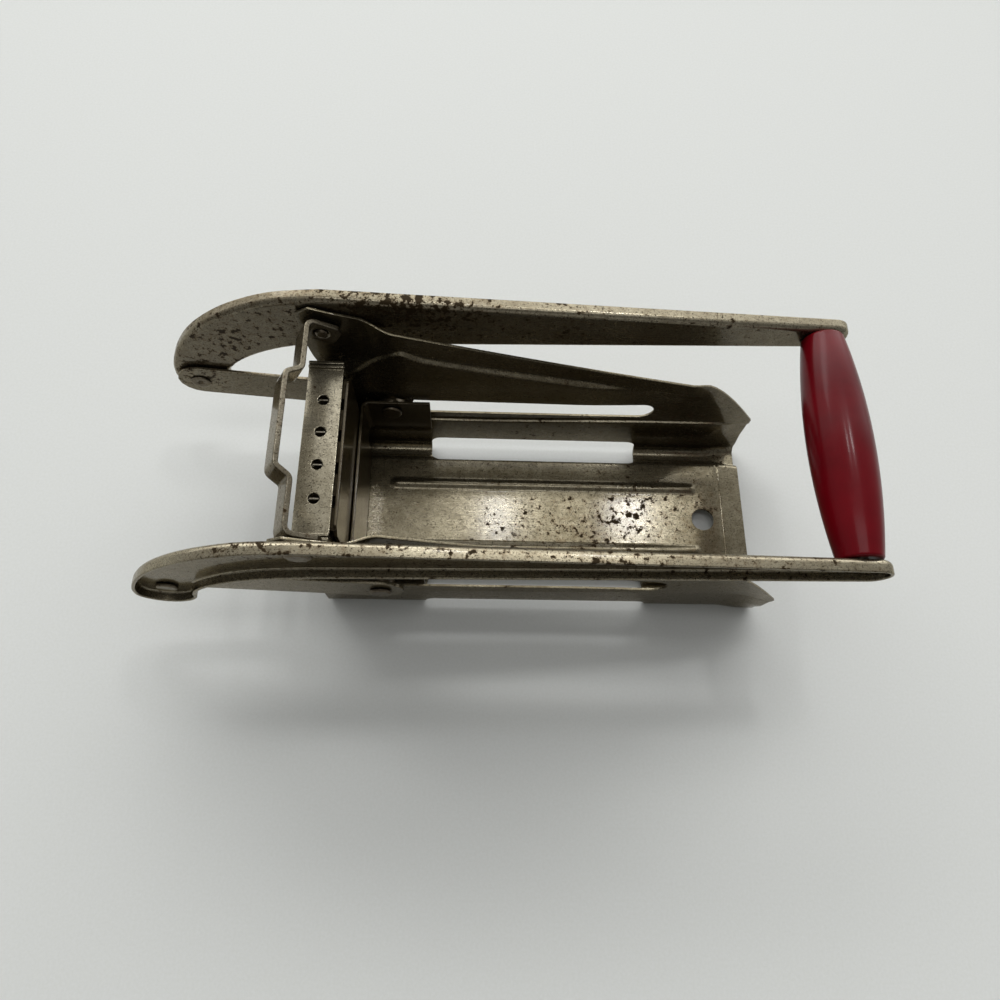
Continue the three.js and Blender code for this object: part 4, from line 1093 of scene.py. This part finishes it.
def through(points, count):
    """Points along a smooth curve that passes through all the given ones."""
    made = []
    last = len(points) - 1
    for i in range(last):
        p0, p1, p2, p3 = (Vector(points[min(max(k, 0), last)]) for k in (i - 1, i, i + 1, i + 2))
        for t in steps(0, 1, count)[:-1]:
            curve = 2 * p1 + (p2 - p0) * t
            curve += (2 * p0 - 5 * p1 + 4 * p2 - p3) * t**2
            curve += (3 * p1 - p0 - 3 * p2 + p3) * t**3
            made.append(curve / 2)
    made.append(Vector(points[last]))
    return made


def round_end(x, z, radius, start, stop, count):
    turns = [math.radians(turn) for turn in steps(start, stop, count)]
    return [Vector((x + radius * math.cos(t), z + radius * math.sin(t))) for t in turns]


def drawn_in(points, distance):
    """An outline moved inwards by a distance, corner by corner."""
    made = []
    for i, point in enumerate(points):
        before = (point - points[i - 1]).normalized()
        after = (points[(i + 1) % len(points)] - point).normalized()
        normal = Vector((-before.y - after.y, before.x + after.x)).normalized()
        cosine = normal.dot(Vector((-before.y, before.x)))
        made.append(point + normal * distance / max(SHARPEST_CORNER, cosine))
    return made


print("points of a half round:", len(round_end(0, 0, 1, 0, 180, 20)))

# %% Outline of an arm
TIP_RADIUS, ARM_BOTTOM = 10.5 * MM, -15 * MM
TOP_TAPER, BOTTOM_TAPER = 7.6 * MM, 8 * MM
CURVE_STEPS, END_STEPS, TIP_STEPS = 6, 20, 24
# Shares of the way from the pivot to the tip, and of the height above the tip, on either curve.
OUTER_CURVE = [(0, 1), (0.25, 0.955), (0.45, 0.86), (0.62, 0.73)]
OUTER_CURVE += [(0.78, 0.55), (0.9, 0.34), (0.975, 0.14), (1, 0)]
INNER_CURVE = [(1, 0), (0.95, 0.2), (0.84, 0.42), (0.68, 0.63), (0.48, 0.81), (0.26, 0.93), (0, 1)]


def arm_outline(low, high):
    """The arm's outline in X and Z about the pivot, anticlockwise, in metres."""
    rear, top = high.x - pivot.x, high.z - pivot.z
    tip_x, tip_z = low.x - pivot.x + TIP_RADIUS, low.z - pivot.z + TIP_RADIUS
    top_end, bottom_end = top - TOP_TAPER, ARM_BOTTOM + BOTTOM_TAPER
    end_radius = (top_end - bottom_end) / 2

    def curve(shares, x, height):
        placed = [(x * along, tip_z + (height - tip_z) * up) for along, up in shares]
        return through(placed, CURVE_STEPS)

    outer = curve(OUTER_CURVE, tip_x - TIP_RADIUS, top)
    inner = curve(INNER_CURVE, tip_x + TIP_RADIUS, ARM_BOTTOM)
    end_height = (top_end + bottom_end) / 2
    end = round_end(rear - end_radius, end_height, end_radius, -90, 90, END_STEPS)
    tip = round_end(tip_x, tip_z, TIP_RADIUS, 180, 360, TIP_STEPS)
    return [*inner[1:], *end, *outer, *tip[1:]]


print("points of an arm's outline:", len(arm_outline(*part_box("lever_arm_far"))))

# %% Arms
ARM_SHEET, BEND, FILLET, RIM_ROUND = 1.2 * MM, 2.2 * MM, 1.0 * MM, 0.4 * MM
QUARTER = [math.radians(turn) for turn in steps(0, 90, 5)]


def channel_rings(web, rim):
    """Place across and inset of each ring: bend outside, both edges of the rim, fillet inside."""
    rings = [(web + BEND * (1 - math.cos(t)), BEND * (1 - math.sin(t))) for t in QUARTER]
    for t in QUARTER:
        rings.append((rim - RIM_ROUND * (1 - math.sin(t)), RIM_ROUND * (1 - math.cos(t))))
    for t in QUARTER:
        rings.append((rim - RIM_ROUND * (1 - math.cos(t)), ARM_SHEET - RIM_ROUND * (1 - math.sin(t))))
    floor = web + ARM_SHEET
    for t in QUARTER:
        rings.append((floor + FILLET * (1 - math.sin(t)), ARM_SHEET + FILLET * (1 - math.cos(t))))
    return rings


def arm(name, side):
    low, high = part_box(name)
    web = low.y if side > 0 else -high.y
    outline = arm_outline(low, high)
    rings = []
    for y, inset in channel_rings(web, web + (high.y - low.y)):
        points = drawn_in(outline, inset)
        rings.append([(pivot.x + p.x, side * y, pivot.z + p.y) for p in points])
    keep_flats(stand_in(name, skinned(f"{name}_channel", rings)))


for name, side in (("lever_arm_far", 1), ("lever_arm_near", -1)):
    arm(name, side)
print("rings of a channel:", len(channel_rings(0, 0)))

# %% [markdown]
# ## Table
#
# The photograph's table is a smooth pale board. A plain white plane would do for light, but a
# faint mottle keeps it from looking like paper. Its edges lie far outside the picture.

# %% Table
TABLE_REACH = 2.5
TABLE_PALE, TABLE_DARKER = srgb(218, 220, 218), srgb(214, 216, 213)
TABLE_MOTTLE, TABLE_ROUGHNESS = 900.0, 0.8
table_mesh = bpy.data.meshes.new("table")
table_corners = [(x * TABLE_REACH, y * TABLE_REACH, 0) for x, y in ((-1, -1), (1, -1), (1, 1), (-1, 1))]
table_mesh.from_pydata(table_corners, [], [(0, 1, 2, 3)])
table = bpy.data.objects.new("table", table_mesh)
scene.collection.objects.link(table)
board = Recipe("pale_table")
mottle = board.between(board.noise(TABLE_MOTTLE, detail=2), 0.3, 0.7)
tint = board.blend(mottle, TABLE_PALE, TABLE_DARKER)
table_mesh.materials.append(board.set(Base_Color=tint, Roughness=TABLE_ROUGHNESS))
print("table reaches", TABLE_REACH, "m each way")

# %% [markdown]
# ## Lamps
#
# Bright metal shows the room more than its own colour. Two small ceiling lamps make the two bright
# patches on the floor of the trough. A long panel overhead and a soft box behind give the shadows
# that fall to the near side, as they do in the photograph. One sun lamp would be simpler, but its
# shadows would be hard and its reflection a dot.


# %% Lamps
def lamp(name, place, aim, width, depth, power):
    data = bpy.data.lights.new(name, "AREA")
    data.shape = "RECTANGLE"
    data.size = width
    data.size_y = depth
    data.energy = power
    made = bpy.data.objects.new(name, data)
    made.location = place
    direction = Vector(aim) - Vector(place)
    made.rotation_euler = direction.to_track_quat("-Z", "Y").to_euler()
    scene.collection.objects.link(made)
    return made


# Name, place, aim, width and depth in metres, and power in watts.
lamps = [
    lamp("left_ceiling_lamp", (0.054, 0.43, 1.2), (0.054, 0.43, 0), 0.06, 0.11, 0.8),
    lamp("right_ceiling_lamp", (0.337, 0.45, 1.2), (0.337, 0.45, 0), 0.07, 0.12, 1.35),
    lamp("ceiling_panel", (0.0, -0.06, 1.3), (0.0, -0.06, 0), 0.9, 0.25, 1.7),
    lamp("far_softbox", (-0.3, 0.8, 0.75), (0, 0, 0), 0.8, 0.2, 1.8),
]
print("lamps:", ", ".join(made.name for made in lamps))

# %% [markdown]
# ## Room
#
# The rest of the light comes from the walls and the ceiling, which the metal mirrors. A picture of
# a room could be wrapped round the scene. A colour ramp from the near side to the far one is
# enough here: a dark near side makes the upright walls dark, the far side is bright, and a narrow
# bright band between them draws fine lines of light along the bends.

# %% Room
# Share of the way from the near side to the far side, and brightness there.
ROOM_LEVELS = [(0, 0.25), (0.12, 0.09), (0.4, 0.09), (0.5, 0.17), (0.6, 0.18), (0.69, 0.18)]
ROOM_LEVELS += [(0.72, 0.85), (0.75, 0.44), (0.79, 0.44), (0.86, 1.7), (0.9, 1.3), (0.95, 0.6)]
ROOM_LEVELS += [(1, 0.45)]
ROOM_BLUE, ROOM_STRENGTH = 0.985, 2.2


def room():
    """Soft light from all round: bright on the far side and dark on the near one."""
    world = bpy.data.worlds.new("room")
    world.use_nodes = True
    graph = Graph(world.node_tree)
    background = graph.tree.nodes["Background"]
    direction = graph.add("ShaderNodeTexCoord").outputs["Generated"]
    split = graph.add("ShaderNodeSeparateXYZ", {"Vector": direction})
    share = graph.between(split.outputs["Y"], -1.0, 1.0)
    levels = graph.add("ShaderNodeValToRGB", {"Fac": share})
    ramp = levels.color_ramp
    while len(ramp.elements) < len(ROOM_LEVELS):
        ramp.elements.new(0.5)
    for element, (position, level) in zip(ramp.elements, ROOM_LEVELS):
        element.position = position
        element.color = (level, level, level * ROOM_BLUE, 1)
    graph.feed(background.inputs["Color"], levels.outputs["Color"])
    graph.feed(background.inputs["Strength"], ROOM_STRENGTH)
    return world


scene.world = room()
scene.view_settings.view_transform = "Standard"
print("levels in the room:", len(ROOM_LEVELS))

# %% [markdown]
# ## End
#
# The finer pieces stand in for the packed ones, so the whole has to keep its size.

# %% End
print("end of the scene script")
